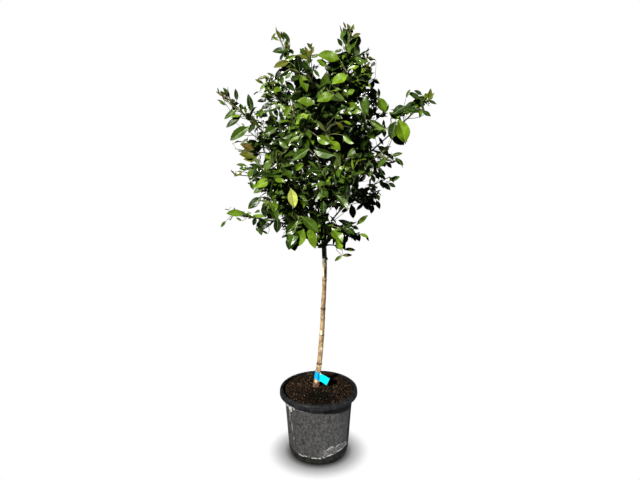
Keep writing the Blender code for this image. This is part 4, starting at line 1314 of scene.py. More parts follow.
# By shape and colour: root x and z, tip x and z, depth y, how far the tip leans to the viewer, and the turn of
# the face. A leaf whose turn is None shines.
NOTABLE = {
    ("broad", "lime"): (
        (0.295, 1.455, 0.328, 1.365, -0.12, 0.1, 0.3), (0.106, 1.614, 0.045, 1.589, -0.16, 0.2, 0.3),
        (-0.032, 1.486, -0.082, 1.456, -0.27, 0.1, 0.0), (-0.175, 1.246, -0.229, 1.225, -0.22, 0.2, 0.5),
        (0.113, 1.636, 0.145, 1.648, -0.14, 0.2, 0.2), (0.041, 1.399, 0.079, 1.368, -0.31, 0.1, 0.1),
    ),
    ("broad", "deep"): (
        (0.290, 1.445, 0.268, 1.372, -0.09, 0.0, -0.3), (0.325, 1.498, 0.277, 1.470, -0.06, 0.1, 0.4),
        (-0.095, 1.043, -0.092, 0.965, -0.19, 0.1, 0.0),
    ),
    ("folded", "fresh"): (
        (0.245, 1.424, 0.179, 1.453, -0.16, 0.0, None), (-0.025, 1.079, -0.015, 0.984, -0.22, 0.1, -0.3),
        (-0.293, 1.076, -0.363, 1.085, -0.04, 0.2, 0.5), (0.086, 1.415, 0.122, 1.387, -0.27, 0.0, None),
        (-0.059, 1.492, -0.074, 1.461, -0.28, 0.1, 0.3), (-0.091, 1.518, -0.122, 1.481, -0.27, 0.1, 0.4),
        (-0.100, 1.476, -0.143, 1.512, -0.14, 0.0, None),
    ),
    ("broad", "fresh"): (
        (0.077, 1.667, -0.004, 1.692, -0.14, 0.1, 0.4), (0.054, 1.554, -0.008, 1.537, -0.29, 0.1, 0.6),
        (0.100, 1.518, 0.152, 1.489, -0.20, 0.0, None), (-0.004, 1.417, 0.037, 1.393, -0.31, 0.0, None),
        (-0.053, 1.063, -0.083, 0.993, -0.22, 0.1, 0.2), (0.049, 1.052, 0.093, 1.012, -0.17, 0.0, None),
        (0.221, 1.532, 0.253, 1.474, -0.08, 0.1, 0.3), (0.031, 1.642, -0.005, 1.670, -0.12, 0.1, 0.3),
        (-0.014, 1.523, -0.073, 1.540, -0.29, 0.1, 0.5), (0.101, 1.549, 0.127, 1.570, -0.22, 0.1, 0.3),
    ),
    ("broad", "dark"): (
        (0.082, 1.650, 0.020, 1.640, -0.12, 0.2, -0.5), (-0.101, 1.636, -0.157, 1.607, -0.12, 0.1, 0.2),
        (0.277, 1.407, 0.327, 1.350, -0.08, 0.0, -0.3),
    ),
    ("folded", "mid"): (
        (-0.032, 1.370, -0.094, 1.332, -0.30, 0.1, 0.5), (0.058, 1.351, -0.021, 1.364, -0.31, 0.0, None),
        (-0.063, 1.119, 0.004, 1.061, -0.25, 0.2, 0.2), (-0.256, 1.425, -0.334, 1.376, -0.10, 0.1, 0.4),
        (0.066, 1.202, 0.107, 1.160, -0.28, 0.0, None), (0.277, 1.210, 0.316, 1.230, -0.05, 0.1, 0.4),
        (-0.258, 1.224, -0.244, 1.189, -0.12, 0.1, 0.3), (-0.090, 1.416, -0.130, 1.397, -0.22, 0.0, None),
        (0.013, 1.233, -0.012, 1.190, -0.30, 0.0, None),
    ),
    ("flat", "yellow"): (
        (-0.098, 1.233, -0.083, 1.161, -0.30, 0.1, 0.3),
    ),
    ("broad", "mid"): (
        (-0.079, 1.091, -0.120, 1.041, -0.21, 0.0, None), (0.002, 1.235, 0.038, 1.200, -0.30, 0.1, 0.3),
        (0.054, 1.478, 0.082, 1.478, -0.28, 0.1, 0.4), (-0.133, 1.205, -0.178, 1.183, -0.20, 0.0, None),
        (-0.270, 1.265, -0.303, 1.266, -0.08, 0.1, 0.3),
    ),
    ("flat", "lime"): (
        (0.071, 1.019, 0.088, 0.962, -0.16, 0.1, 0.0), (0.039, 0.991, -0.005, 0.973, -0.15, 0.2, 0.2),
        (0.050, 1.027, 0.033, 0.992, -0.16, 0.1, 0.0),
    ),
    ("slender", "lime"): (
        (0.146, 1.052, 0.189, 1.095, -0.12, 0.1, 0.0), (0.099, 0.959, 0.145, 0.957, -0.13, 0.1, 0.3),
        (0.095, 0.932, 0.061, 0.908, -0.12, 0.1, 0.3), (0.159, 1.013, 0.197, 0.999, -0.10, 0.1, 0.0),
    ),
    ("slender", "mid"): (
        (-0.307, 1.487, -0.354, 1.451, -0.08, 0.1, 0.4), (0.329, 1.527, 0.343, 1.560, -0.05, 0.1, 0.3),
        (-0.366, 1.047, -0.390, 1.019, -0.03, 0.0, 0.4), (-0.162, 1.603, -0.191, 1.620, -0.05, 0.1, 0.3),
        (0.279, 1.308, 0.324, 1.321, -0.05, 0.1, 0.3), (-0.274, 1.271, -0.316, 1.279, -0.06, 0.1, 0.3),
        (-0.105, 1.672, -0.145, 1.700, -0.05, 0.1, 0.3), (-0.019, 1.635, 0.006, 1.606, -0.12, 0.1, 0.3),
        (-0.300, 1.053, -0.323, 1.069, -0.06, 0.1, 0.3), (0.228, 1.528, 0.225, 1.563, -0.05, 0.1, 0.3),
        (-0.346, 1.499, -0.372, 1.512, -0.05, 0.1, 0.3),
    ),
    ("slender", "deep"): (
        (-0.286, 1.464, -0.348, 1.422, -0.09, 0.1, 0.4), (-0.305, 1.516, -0.309, 1.563, -0.06, 0.0, 0.4),
        (-0.250, 1.473, -0.262, 1.544, -0.06, 0.0, 0.4), (-0.105, 1.725, -0.130, 1.768, -0.03, 0.0, 0.4),
        (-0.333, 1.530, -0.358, 1.566, -0.04, 0.0, 0.3), (0.413, 1.517, 0.451, 1.502, -0.02, 0.1, 0.3),
        (-0.196, 1.011, -0.219, 1.027, -0.10, 0.1, 0.3), (-0.127, 1.733, -0.138, 1.768, -0.03, 0.0, 0.3),
        (0.109, 1.014, 0.111, 0.980, -0.11, 0.1, 0.3), (0.229, 1.381, 0.249, 1.350, -0.05, 0.1, 0.3),
        (-0.143, 1.663, -0.126, 1.692, -0.06, 0.1, 0.3),
    ),
    ("slender", "olive"): (
        (0.419, 1.513, 0.426, 1.562, -0.02, 0.0, 0.4), (0.124, 1.750, 0.107, 1.797, -0.02, 0.0, 0.4),
        (0.124, 1.757, 0.131, 1.795, -0.01, 0.0, 0.2), (-0.188, 1.607, -0.229, 1.596, -0.05, 0.1, 0.3),
        (-0.233, 1.301, -0.281, 1.311, -0.13, 0.1, 0.2), (-0.138, 1.736, -0.151, 1.772, -0.03, 0.0, 0.3),
        (-0.034, 1.672, -0.049, 1.715, -0.07, 0.0, 0.3), (-0.031, 1.672, -0.016, 1.715, -0.07, 0.0, 0.3),
        (-0.034, 1.665, -0.074, 1.687, -0.08, 0.1, 0.3), (-0.204, 1.577, -0.237, 1.596, -0.04, 0.1, 0.3),
    ),
    ("flat", "deep"): (
        (0.388, 1.479, 0.427, 1.460, -0.05, 0.1, 0.4), (0.088, 1.713, 0.071, 1.743, -0.03, 0.1, 0.3),
        (-0.142, 1.501, -0.194, 1.483, -0.10, 0.1, 0.2), (-0.122, 1.591, -0.086, 1.555, -0.10, 0.1, 0.3),
        (-0.081, 1.481, -0.052, 1.452, -0.16, 0.1, 0.4), (0.225, 1.259, 0.260, 1.236, -0.06, 0.1, 0.3),
        (0.270, 1.203, 0.301, 1.187, -0.05, 0.1, 0.2), (-0.216, 1.158, -0.273, 1.113, -0.10, 0.1, 0.4),
        (0.144, 1.707, 0.153, 1.752, -0.02, 0.0, 0.3), (-0.108, 1.700, -0.171, 1.697, -0.05, 0.1, 0.5),
        (0.383, 1.522, 0.337, 1.548, -0.04, 0.1, 0.4), (0.326, 1.490, 0.380, 1.475, -0.05, 0.1, 0.4),
        (-0.143, 1.486, -0.129, 1.454, -0.14, 0.0, 0.4), (-0.164, 1.494, -0.150, 1.461, -0.10, 0.1, 0.3),
        (0.392, 1.536, 0.361, 1.555, -0.03, 0.1, 0.3), (0.229, 1.240, 0.260, 1.222, -0.07, 0.1, 0.3),
        (0.126, 1.046, 0.157, 1.034, -0.11, 0.1, 0.3), (0.089, 1.702, 0.058, 1.693, -0.05, 0.1, 0.3),
        (-0.155, 1.495, -0.187, 1.509, -0.09, 0.1, 0.3),
    ),
    ("folded", "olive"): (
        (-0.104, 1.659, -0.163, 1.642, -0.12, 0.2, 0.5), (0.124, 1.743, 0.157, 1.761, -0.03, 0.1, 0.3),
        (0.062, 1.457, 0.091, 1.429, -0.24, 0.1, 0.5),
    ),
    ("flat", "mid"): (
        (-0.113, 1.315, -0.100, 1.257, -0.26, 0.1, 0.4), (-0.202, 1.205, -0.248, 1.178, -0.12, 0.1, 0.4),
        (0.088, 1.564, 0.103, 1.522, -0.18, 0.0, 0.3), (-0.038, 1.669, -0.067, 1.708, -0.07, 0.1, 0.3),
        (-0.208, 1.494, -0.220, 1.457, -0.10, 0.0, 0.3), (0.199, 1.594, 0.231, 1.579, -0.04, 0.0, 0.3),
        (0.142, 1.363, 0.103, 1.334, -0.22, 0.1, 0.4), (0.264, 1.502, 0.239, 1.469, -0.07, 0.1, 0.2),
        (-0.005, 1.022, 0.006, 0.991, -0.17, 0.0, 0.3), (-0.107, 1.363, -0.144, 1.388, -0.22, 0.0, None),
        (-0.150, 1.429, -0.195, 1.407, -0.16, 0.0, None), (-0.221, 1.263, -0.260, 1.245, -0.15, 0.0, None),
        (-0.037, 1.182, -0.072, 1.200, -0.28, 0.0, None), (0.207, 1.589, 0.194, 1.557, -0.06, 0.1, 0.3),
        (0.004, 1.685, -0.027, 1.674, -0.08, 0.1, 0.3), (-0.099, 1.622, -0.124, 1.597, -0.06, 0.1, 0.3),
        (-0.137, 1.611, -0.136, 1.574, -0.05, 0.1, 0.3), (0.248, 1.416, 0.251, 1.380, -0.06, 0.1, 0.3),
        (0.202, 1.240, 0.219, 1.206, -0.06, 0.1, 0.3),
    ),
    ("flat", "dark"): (
        (-0.154, 1.082, -0.161, 1.018, -0.12, 0.0, 0.3), (-0.198, 1.119, -0.218, 1.087, -0.10, 0.0, 0.3),
        (0.182, 1.150, 0.225, 1.127, -0.10, 0.1, 0.3), (0.167, 1.134, 0.206, 1.107, -0.10, 0.1, 0.2),
        (-0.180, 1.510, -0.214, 1.488, -0.08, 0.1, 0.4), (0.246, 1.208, 0.281, 1.177, -0.06, 0.1, 0.3),
        (0.124, 1.135, 0.136, 1.076, -0.12, 0.0, 0.4), (0.291, 1.300, 0.328, 1.275, -0.06, 0.1, 0.3),
        (-0.195, 1.063, -0.230, 1.023, -0.10, 0.1, 0.3), (0.222, 1.142, 0.239, 1.106, -0.08, 0.1, 0.3),
        (-0.192, 1.520, -0.230, 1.516, -0.06, 0.1, 0.3), (0.210, 1.128, 0.203, 1.089, -0.09, 0.1, 0.3),
        (-0.242, 1.077, -0.254, 1.041, -0.09, 0.0, 0.3), (0.117, 1.117, 0.087, 1.101, -0.11, 0.1, 0.3),
        (0.095, 1.047, 0.127, 1.007, -0.10, 0.1, 0.3), (0.181, 1.243, 0.154, 1.216, -0.10, 0.1, 0.3),
        (0.257, 1.288, 0.283, 1.263, -0.06, 0.1, 0.3),
    ),
    ("flat", "bronze"): (
        (-0.240, 1.341, -0.291, 1.367, -0.12, 0.1, 0.3),
    ),
    ("flat", "olive"): (
        (-0.236, 1.316, -0.295, 1.331, -0.13, 0.1, 0.5), (-0.290, 1.251, -0.327, 1.232, -0.06, 0.1, 0.3),
        (0.024, 1.594, 0.027, 1.625, -0.16, 0.0, 0.3),
    ),
    ("slender", "fresh"): (
        (-0.146, 1.733, -0.173, 1.750, -0.03, 0.1, 0.3), (-0.270, 1.470, -0.273, 1.503, -0.08, 0.1, 0.3),
        (0.086, 1.465, 0.117, 1.453, -0.28, 0.1, 0.3), (-0.081, 1.683, -0.121, 1.664, -0.10, 0.0, None),
    ),
    ("young", "olive"): (
        (-0.348, 1.526, -0.385, 1.548, -0.04, 0.1, 0.3), (-0.353, 1.507, -0.382, 1.518, -0.04, 0.1, 0.3),
        (-0.175, 1.736, -0.156, 1.761, -0.03, 0.0, 0.3), (0.103, 1.775, 0.091, 1.800, -0.01, 0.1, 0.3),
    ),
    ("folded", "dark"): (
        (0.121, 1.432, 0.085, 1.381, -0.20, 0.1, 0.2),
    ),
    ("slender", "bronze"): (
        (0.092, 0.927, 0.133, 0.931, -0.11, 0.1, 0.3),
    ),
    ("slender", "dark"): (
        (0.267, 1.282, 0.301, 1.292, -0.06, 0.1, 0.3), (0.146, 1.011, 0.162, 0.979, -0.10, 0.0, 0.3),
        (0.134, 1.041, 0.076, 1.071, -0.10, 0.1, 0.3), (0.119, 1.027, 0.148, 0.983, -0.10, 0.1, 0.3),
        (0.184, 1.002, 0.198, 0.980, -0.09, 0.1, 0.3), (0.158, 1.013, 0.161, 0.978, -0.09, 0.1, 0.3),
        (0.176, 1.132, 0.145, 1.104, -0.09, 0.1, 0.3),
    ),
    ("flat", "fresh"): (
        (-0.135, 1.290, -0.161, 1.250, -0.22, 0.0, None), (0.109, 1.497, 0.136, 1.525, -0.22, 0.0, None),
    ),
}
FOLDS = {shape.name: math.atan(shape.fold) for shape in SHAPES}


def flashing(root, flat, shape):
    """The run and the face of a leaf of which one half nearly mirrors the strong light to the camera."""
    to_camera = (Vector(CAMERA_PLACE) - root).normalized()
    mirror = (SUN_FROM.normalized() + to_camera).normalized()
    run = flat + Vector((0.0, (MIDDLE_BEND * flat.length - flat.dot(mirror)) / mirror.y, 0.0))
    along = run.normalized()
    square = (mirror - along * mirror.dot(along)).normalized()
    turn = FOLDS[shape] + BESIDE_THE_MIRROR
    faces = [Matrix.Rotation(sign * turn, 3, along) @ square for sign in (-1, 1)]
    return run, max(faces, key=to_camera.dot)


def add_notable(shape, kind, x0, z0, x1, z1, y, lean, turn):
    """Adds a leaf at its own place, and the thin twig that ties it to the nearest growth."""
    root = Vector((x0, y, z0))
    flat = Vector((x1 - x0, 0.0, z1 - z0))
    if turn is None:
        run, face = flashing(root, flat, shape)
    else:
        run = flat + Vector((0.0, -lean * flat.length, 0.0))
        sky = Vector((FACE_X + turn, FACE_Y, FACE_Z))
        face = (sky - run * sky.dot(run) / run.length_squared).normalized()
    along = run.normalized()
    all_leaves.append(Leaf(root, along, face, run.length, shape, kind))
    gaps = np.linalg.norm(twig_nodes - np.array(root), axis=1)
    tie = Vector(twig_nodes[np.argmin(gaps + 0.5 * np.maximum(0.0, twig_nodes[:, 2] - root.z))])
    middle = (tie + root) / 2 - along * 0.1 * (tie - root).length
    all_twigs.append([Station(at, radius) for at, radius in zip((tie, middle, root), TIE_RADII)])


twig_nodes = np.array([station.place for twig in all_twigs for station in twig])
for (shape, kind), rows in NOTABLE.items():
    for row in rows:
        add_notable(shape, kind, *row)
print("in all", len(all_twigs), "twigs", len(all_leaves), "leaves")

# %% [markdown]
# ## Joining what was grown
# Thousands of small objects would be slow, so each kind becomes one mesh. The arrays of a shape
# are copied for each leaf, turned and placed by its own matrix, and strung together.

# %% Joining
TWIG_SIDES = 4
SHOOT_SIDES = 6


def placed(arrays, leaf):
    points, corners, counts = arrays
    turn = Matrix((leaf.along, leaf.face.cross(leaf.along), leaf.face)).transposed()
    return points @ (np.array(turn).T * leaf.length) + np.array(leaf.root), corners, counts


def joined_mesh(name, many, crease=None):
    """One mesh of many sets of arrays. The crease gives the points of a set that lie on a fold."""
    mesh = bpy.data.meshes.new(name)
    starts = np.cumsum([0] + [len(points) for points, _, _ in many])
    points = np.concatenate([points for points, _, _ in many])
    corners = np.concatenate([corners + start for (_, corners, _), start in zip(many, starts)])
    counts = np.concatenate([counts for _, _, counts in many])
    mesh.vertices.add(len(points))
    mesh.vertices.foreach_set("co", points.astype(np.float32).ravel())
    mesh.loops.add(len(corners))
    mesh.loops.foreach_set("vertex_index", corners.astype(np.int32))
    mesh.polygons.add(len(counts))
    mesh.polygons.foreach_set("loop_start", (np.cumsum(counts) - counts).astype(np.int32))
    mesh.update(calc_edges=True)
    mesh.validate()
    mesh.shade_smooth()
    if crease is not None:
        ends = np.empty(len(mesh.edges) * 2, np.int32)
        mesh.edges.foreach_get("vertices", ends)
        on_fold = np.concatenate(crease)[ends].reshape(-1, 2).all(axis=1)
        mesh.attributes.new("sharp_edge", "BOOLEAN", "EDGE").data.foreach_set("value", on_fold)
    return mesh


foliage_nodes = ["foliage_" + spray.name for spray in SPRAYS]
twig_arrays = [arrays_of(limb_body(twig, TWIG_SIDES)) for twig in all_twigs]
twig_arrays += [arrays_of(limb_body(stations, SHOOT_SIDES)) for stations in shoot_runs]
twig_bark, tree, sockets = new_material("twig bark", 0.5)
tone = use_group(tree, patchy, First=(0.095, 0.115, 0.035), Second=(0.210, 0.190, 0.085),
                 Scale=30.0, Low=0.4, High=0.6)
dress(tree, sockets, tone["Colour"], 400.0, 0.0003)
finish_piece("twigs", joined_mesh("twigs", twig_arrays), twig_bark, foliage_nodes)

# %% [markdown]
# ## Leaf colours
# Each leaf takes one of a few plain greens, dealt out by spray, by how young the growth is and by how far out in
# the crown it grows. The darkest greens are partly the leaves' own colour and partly painted shade for the inside
# of the crown. A leaf is glossy above and paler and duller below, so the material asks which side it is seen from.

# %% Leaf colours
# The dark and deep greens are partly the leaves' own colour and partly painted shade
LEAF_COLOURS = {
    "dark": (0.0050, 0.0130, 0.0020),
    "deep": (0.0125, 0.0320, 0.0025),
    "mid": (0.039, 0.081, 0.005),
    "fresh": (0.088, 0.158, 0.006),
    "lime": (0.132, 0.230, 0.007),
    "olive": (0.080, 0.088, 0.006),
    "bronze": (0.082, 0.056, 0.010),
    "yellow": (0.44, 0.50, 0.10),
}
UNDERSIDE = (0.16, 0.22, 0.09)
UNDERSIDE_SHARE = 0.30
LEAF_GLOSS = 0.7
LONG_LEAF = 0.040


def leaf_material(name, colour):
    material, tree, sockets = new_material(name, 0.24, LEAF_GLOSS)
    lighter = tuple(min(1.0, channel * 1.45 + 0.002) for channel in colour)
    below = tuple(between(channel, target, UNDERSIDE_SHARE) for channel, target in zip(colour, UNDERSIDE))
    tone = use_group(tree, patchy, First=colour, Second=lighter, Scale=36.0, Low=0.42, High=0.62)
    behind = Value(add_node(tree, "NewGeometry").outputs["Backfacing"])
    dress(tree, sockets, add_mix(behind, tone["Colour"], below), 180.0, 0.0008)
    link(tone["Mask"] * 0.10 + 0.24, sockets["Roughness"])
    return material


on_fold = {name: np.abs(points[:, 1]) < 1e-6 for name, (points, _, _) in blades.items()}
for kind, colour in LEAF_COLOURS.items():
    group = [leaf for leaf in all_leaves if leaf.kind == kind]
    mesh = joined_mesh("leaves_" + kind, [placed(blades[leaf.shape], leaf) for leaf in group],
                       [on_fold[leaf.shape] for leaf in group])
    finish_piece("leaves_" + kind, mesh, leaf_material(kind + " leaf", colour), foliage_nodes)

rib_green, tree, sockets = new_material("midrib", 0.45)
tone = use_group(tree, patchy, First=(0.13, 0.20, 0.035), Second=(0.21, 0.29, 0.06),
                 Scale=30.0, Low=0.4, High=0.6)
link(tone["Colour"], sockets["Base Color"])
rib_arrays = [placed(ribs[leaf.shape], leaf) for leaf in all_leaves if leaf.length > LONG_LEAF]
finish_piece("leaf_midribs", joined_mesh("leaf_midribs", rib_arrays), rib_green, foliage_nodes)

# %% [markdown]
# ## Pot
# The pot is a moulded tub. Its section is drawn as a row of points and spun about the axis, with
# small steps at each corner so that the edges are round. The lip hangs down outside like a skirt,
# and hangs 5 mm lower in one part of its front.

# %% Pot
POT_HEIGHT = 0.303
RIM_RADIUS = 0.1665
RIM_INNER_RADIUS = 0.1525
RIM_DEPTH = 0.024
WALL_TOP_RADIUS = 0.1455
WALL = 0.0025
POT_STEPS = 120
SKIRT_DROP = 0.0050
SKIRT_FROM = math.radians(-126.0)
SKIRT_TO = math.radians(-81.0)
DENT_DEPTH = 0.0006
DRAIN_HOLES = 6
DRAIN_RADIUS = 0.007
DRAIN_CIRCLE = 0.098
STEP = POT_HEIGHT - RIM_DEPTH
SECTION = (
    (0.0, 0.0), (0.060, 0.0), (0.1110, 0.0), (0.1150, 0.0014), (0.1187, 0.0052), (0.1220, 0.0115),
    (0.1250, 0.0195), (0.1284, 0.0300), (0.1330, 0.0880), (0.1370, 0.1500), (0.1415, 0.2180),
    (WALL_TOP_RADIUS - 0.0004, 0.2700), (WALL_TOP_RADIUS, STEP - 0.001), (0.1485, STEP + 0.0018),
    (0.1535, STEP + 0.0034), (RIM_INNER_RADIUS + WALL, STEP + 0.0060), (RIM_INNER_RADIUS + WALL, 0.2975),
    (0.1600, 0.2985), (RIM_RADIUS - WALL, 0.2965), (RIM_RADIUS - WALL, STEP + 0.0008),
    (RIM_RADIUS - 0.0018, STEP), (RIM_RADIUS - 0.0006, STEP), (RIM_RADIUS, STEP + 0.0010), (RIM_RADIUS, 0.2880),
    (RIM_RADIUS - 0.0006, 0.2955), (RIM_RADIUS - 0.0021, 0.2998), (RIM_RADIUS - 0.0048, 0.3022),
    (RIM_RADIUS - 0.0078, POT_HEIGHT), (RIM_INNER_RADIUS + 0.0030, POT_HEIGHT),
    (RIM_INNER_RADIUS + 0.0008, 0.3020), (RIM_INNER_RADIUS, 0.2996), (RIM_INNER_RADIUS, STEP + 0.0070),
    (0.1475, STEP + 0.0030),
    (WALL_TOP_RADIUS - WALL, STEP - 0.004), (0.1259, 0.0305), (0.1226, 0.0203),
    (0.1197, 0.0124), (0.1168, 0.0067), (0.1135, 0.0034), (0.1095, WALL), (0.0, WALL),
)
bm = spun(SECTION, POT_STEPS)
for vert in bm.verts:
    x, y, z = vert.co
    radius = math.hypot(x, y)
    in_skirt = SKIRT_FROM < math.atan2(y, x) < SKIRT_TO and radius > RIM_RADIUS - WALL - 0.0002
    if in_skirt and z < STEP + 0.002:
        vert.co.z -= SKIRT_DROP
    elif radius > 0.12 and z < STEP:
        dent = DENT_DEPTH * noise.noise(Vector((x * 14.0, y * 14.0, z * 9.0)))
        vert.co.x += dent * x / radius
        vert.co.y += dent * y / radius
drill = bmesh.new()
for i in range(DRAIN_HOLES):
    middle = heading(math.tau * i / DRAIN_HOLES) * DRAIN_CIRCLE
    bmesh.ops.create_cone(drill, cap_ends=True, segments=20, radius1=DRAIN_RADIUS, radius2=DRAIN_RADIUS,
                          depth=8 * WALL, matrix=Matrix.Translation(middle))
pot_mesh = cut_away(mesh_of("pot_shell", bm, 38.0), mesh_of("drill", drill))

# %% [markdown]
# ## The pot's finish
# The plastic is black, but its wall is grey with dried dust and rubbed by handling: white scuffs high on the left,
# a jagged pale scrape low across the front that rises to the right, and a darker band below it. A dark strip along
# the right edge and a dark band under the lip on the right are painted shade. Only the lip stays nearly black,
# with a soft sheen.

# %% Dust and smears
SPECKLE = (0.135, 0.135, 0.134)
SMEAR = (0.020, 0.020, 0.020)
plastic, tree, sockets = new_material("pot plastic", 0.72, gloss=0.12)
place = object_place(tree)
x, y, z = split(place)
dust = use_group(tree, patchy, First=(0.024, 0.024, 0.0245), Second=(0.060, 0.060, 0.0605),
                 Scale=105.0, Low=0.30, High=0.70, Stretch=0.7)
speckle = use_group(tree, patchy, Scale=240.0, Low=0.52, High=0.64, Stretch=0.7)
colour = add_mix(speckle["Mask"] * 0.45, dust["Colour"], SPECKLE)
smear = use_group(tree, patchy, Scale=48.0, Low=0.56, High=0.70, Stretch=0.45)
colour = add_mix(smear["Mask"] * 0.50, colour, SMEAR)
print("pot plastic", len(tree.nodes), "nodes so far")

# %% [markdown]
# The scrape follows a height that rises on the right, and also on the far left. Everything near it
# is told by how far a point lies above that height: the dark foot below, the rubbed band on the
# right above, and the bright chips along it and along the band's top.

# %% Scrape and foot
SCRAPE_HEIGHT = 0.0388
RISE_ON_THE_RIGHT = 0.20
BEND_ON_THE_LEFT = 1.9
BAND_TALLEST = 0.0320
RUBBED = (0.22, 0.22, 0.215)
left_bend = calculate("MINIMUM", x + 0.035, 0.0) ** 2.0
scrape = calculate("MAXIMUM", x, 0.0) * RISE_ON_THE_RIGHT + left_bend * BEND_ON_THE_LEFT + SCRAPE_HEIGHT
ragged = wobble(place, 30.0, 0.024)
above = z + ragged - scrape
below_scrape = add_range(above, 0.002, -0.004)
foot_tone = use_group(tree, patchy, First=(0.002, 0.002, 0.002), Second=(0.022, 0.023, 0.019),
                      Scale=110.0, Low=0.42, High=0.68)
colour = add_mix(below_scrape * 0.85, colour, foot_tone["Colour"])
foot_chips = use_group(tree, patchy, Scale=150.0, Low=0.64, High=0.70)
colour = add_mix(below_scrape * foot_chips["Mask"] * 0.6, colour, (0.14, 0.14, 0.13))
on_right = add_range(x, -0.002, 0.022)
under_top = calculate("MINIMUM", 0.0726 - x * 0.48, BAND_TALLEST) - (above + wobble(place, 46.0, 0.030))
in_band = add_range(above, -0.002, 0.002) * add_range(under_top, -0.001, 0.002) * on_right
rubbed = in_band * add_range(add_noise(place, 130.0, 6.0), 0.42, 0.60)
colour = add_mix(rubbed * 0.55, colour, RUBBED)
broken = add_range(add_noise(place, 80.0, 6.0), 0.42, 0.52)
top_line = add_range(abs(under_top), 0.0030, 0.0010) * on_right
colour = add_mix(top_line * broken * 0.9, colour, (0.36, 0.36, 0.355))
near_scrape = add_range(abs(above), 0.0038, 0.0014) * add_range(x, -0.094, -0.080)
colour = add_mix(near_scrape * broken, colour, (0.42, 0.42, 0.415))
print("pot plastic", len(tree.nodes), "nodes so far")

# %% Scuffs, painted shade and lip
SCUFF = (0.46, 0.46, 0.45)
SCUFFS = (  # Place, radius, how far it is drawn out upright, strength
    ((-0.130, -0.064, 0.264), 0.016, 1.0, 0.90), ((-0.118, -0.082, 0.249), 0.017, 1.0, 0.90),
    ((-0.108, -0.097, 0.258), 0.014, 0.6, 0.90), ((-0.1365, -0.046, 0.258), 0.013, 1.5, 0.95),
    ((-0.121, -0.0715, 0.208), 0.006, 4.5, 0.40), ((-0.112, -0.079, 0.158), 0.005, 5.0, 0.30),
    ((-0.1035, -0.0846, 0.107), 0.006, 1.2, 0.55),
)
LINE_UNDER_LIP = 0.2605
STRIP_FROM = 0.1130
STRIP_LEAN = 0.064
UNDER_LIP = (0.003, 0.003, 0.004)
RIGHT_EDGE_SHADE = (0.006, 0.006, 0.007)
INSIDE = (0.008, 0.007, 0.0065)
for scuff_place, radius, tall, strength in SCUFFS:
    scuff = use_group(tree, spot, Place=scuff_place, Radius=radius, Tall=tall)
    colour = add_mix(scuff["Mask"] * broken * strength, colour, SCUFF)
worn_line = add_range(abs(z - LINE_UNDER_LIP), 0.0040, 0.0015) * add_range(x, -0.020, -0.050)
colour = add_mix(worn_line * broken, colour, RUBBED)
# Painted shadow under the lip on the right of the front
shaded = add_range(z + x * 0.24 + ragged * 0.5, 0.262, 0.265) * add_range(x, 0.010, 0.030)
colour = add_mix(shaded * 0.95, colour, UNDER_LIP)
# Painted shade in a strip along the pot's right edge, on its front below the rim
beside = x - (z * STRIP_LEAN + STRIP_FROM) + ragged * 0.45
strip = add_range(beside, 0.0, 0.004) * add_range(z, 0.285, 0.275) * add_range(y + ragged, 0.040, 0.012)
colour = add_mix(strip * 0.85, colour, RIGHT_EDGE_SHADE)
lip = add_range(z, STEP - 0.008, STEP - 0.002)
lip_tone = use_group(tree, patchy, First=(0.0075, 0.0075, 0.0085), Second=(0.020, 0.021, 0.025),
                     Scale=60.0, Low=0.42, High=0.66)
colour = add_mix(lip, colour, lip_tone["Colour"])
inside = add_range(distance(x, y), RIM_INNER_RADIUS + 0.0012, RIM_INNER_RADIUS + 0.0006) * lip
dress(tree, sockets, add_mix(inside, colour, INSIDE), 170.0, 0.0006)
link(0.72 - lip * 0.14, sockets["Roughness"])
finish_piece("pot_shell", pot_mesh, plastic, ["pot"])

# %% [markdown]
# ## Compost
# The compost is a dark crumbly mix with lighter bits of bark and a few white grains. It fills the
# pot down to the bottom. Its section is spun like the pot's, its top is roughened by noise at two
# sizes and heaped a little at the back, and crumbs of a few faces lie on it.

# %% Compost
SOIL_DISH = 0.004
SOIL_HEAP = 0.009
SOIL_EDGE = RIM_INNER_RADIUS - 0.0006
SOIL_GAP = 0.0006
SOIL_STEPS = 110
RADIAL_STEPS = 44
DULL = 0.04
DARK_PATCH_X, DARK_PATCH_Y = 0.005, -0.065
SOIL_SIDE = (
    (SOIL_EDGE, STEP + 0.0076), (0.1470, STEP + 0.0036), (WALL_TOP_RADIUS - WALL - SOIL_GAP, STEP - 0.0035),
    (0.1252, 0.0308), (0.1190, 0.0128), (0.1090, WALL + SOIL_GAP), (0.0, WALL + SOIL_GAP),
)


def soil_height(x, y):
    radius = math.hypot(x, y)
    lumps = noise.noise(Vector((x * 28.0, y * 28.0, 1.0))) * 0.0030
    crumbs = noise.noise(Vector((x * 150.0, y * 150.0, 2.0))) * 0.0014
    heap = SOIL_HEAP * max(0.0, y / SOIL_EDGE) ** 1.5
    rough = (lumps + crumbs) * min(1.0, (SOIL_EDGE - radius) * 90.0)
    return SOIL_TOP + heap - SOIL_DISH * (radius / SOIL_EDGE) ** 2 + rough


section = [(SOIL_EDGE * i / RADIAL_STEPS, 0.0) for i in range(RADIAL_STEPS + 1)]
bm = spun(section + [(radius, z - SOIL_TOP) for radius, z in SOIL_SIDE], SOIL_STEPS)
for vert in bm.verts:
    on_top = vert.co.z > -0.001
    vert.co.z = soil_height(vert.co.x, vert.co.y) if on_top else vert.co.z + SOIL_TOP
earth, tree, sockets = new_material("compost", 0.95, DULL)
tone = use_group(tree, patchy, First=(0.0022, 0.0016, 0.0012), Second=(0.024, 0.0150, 0.009),
                 Scale=95.0, Low=0.40, High=0.66)
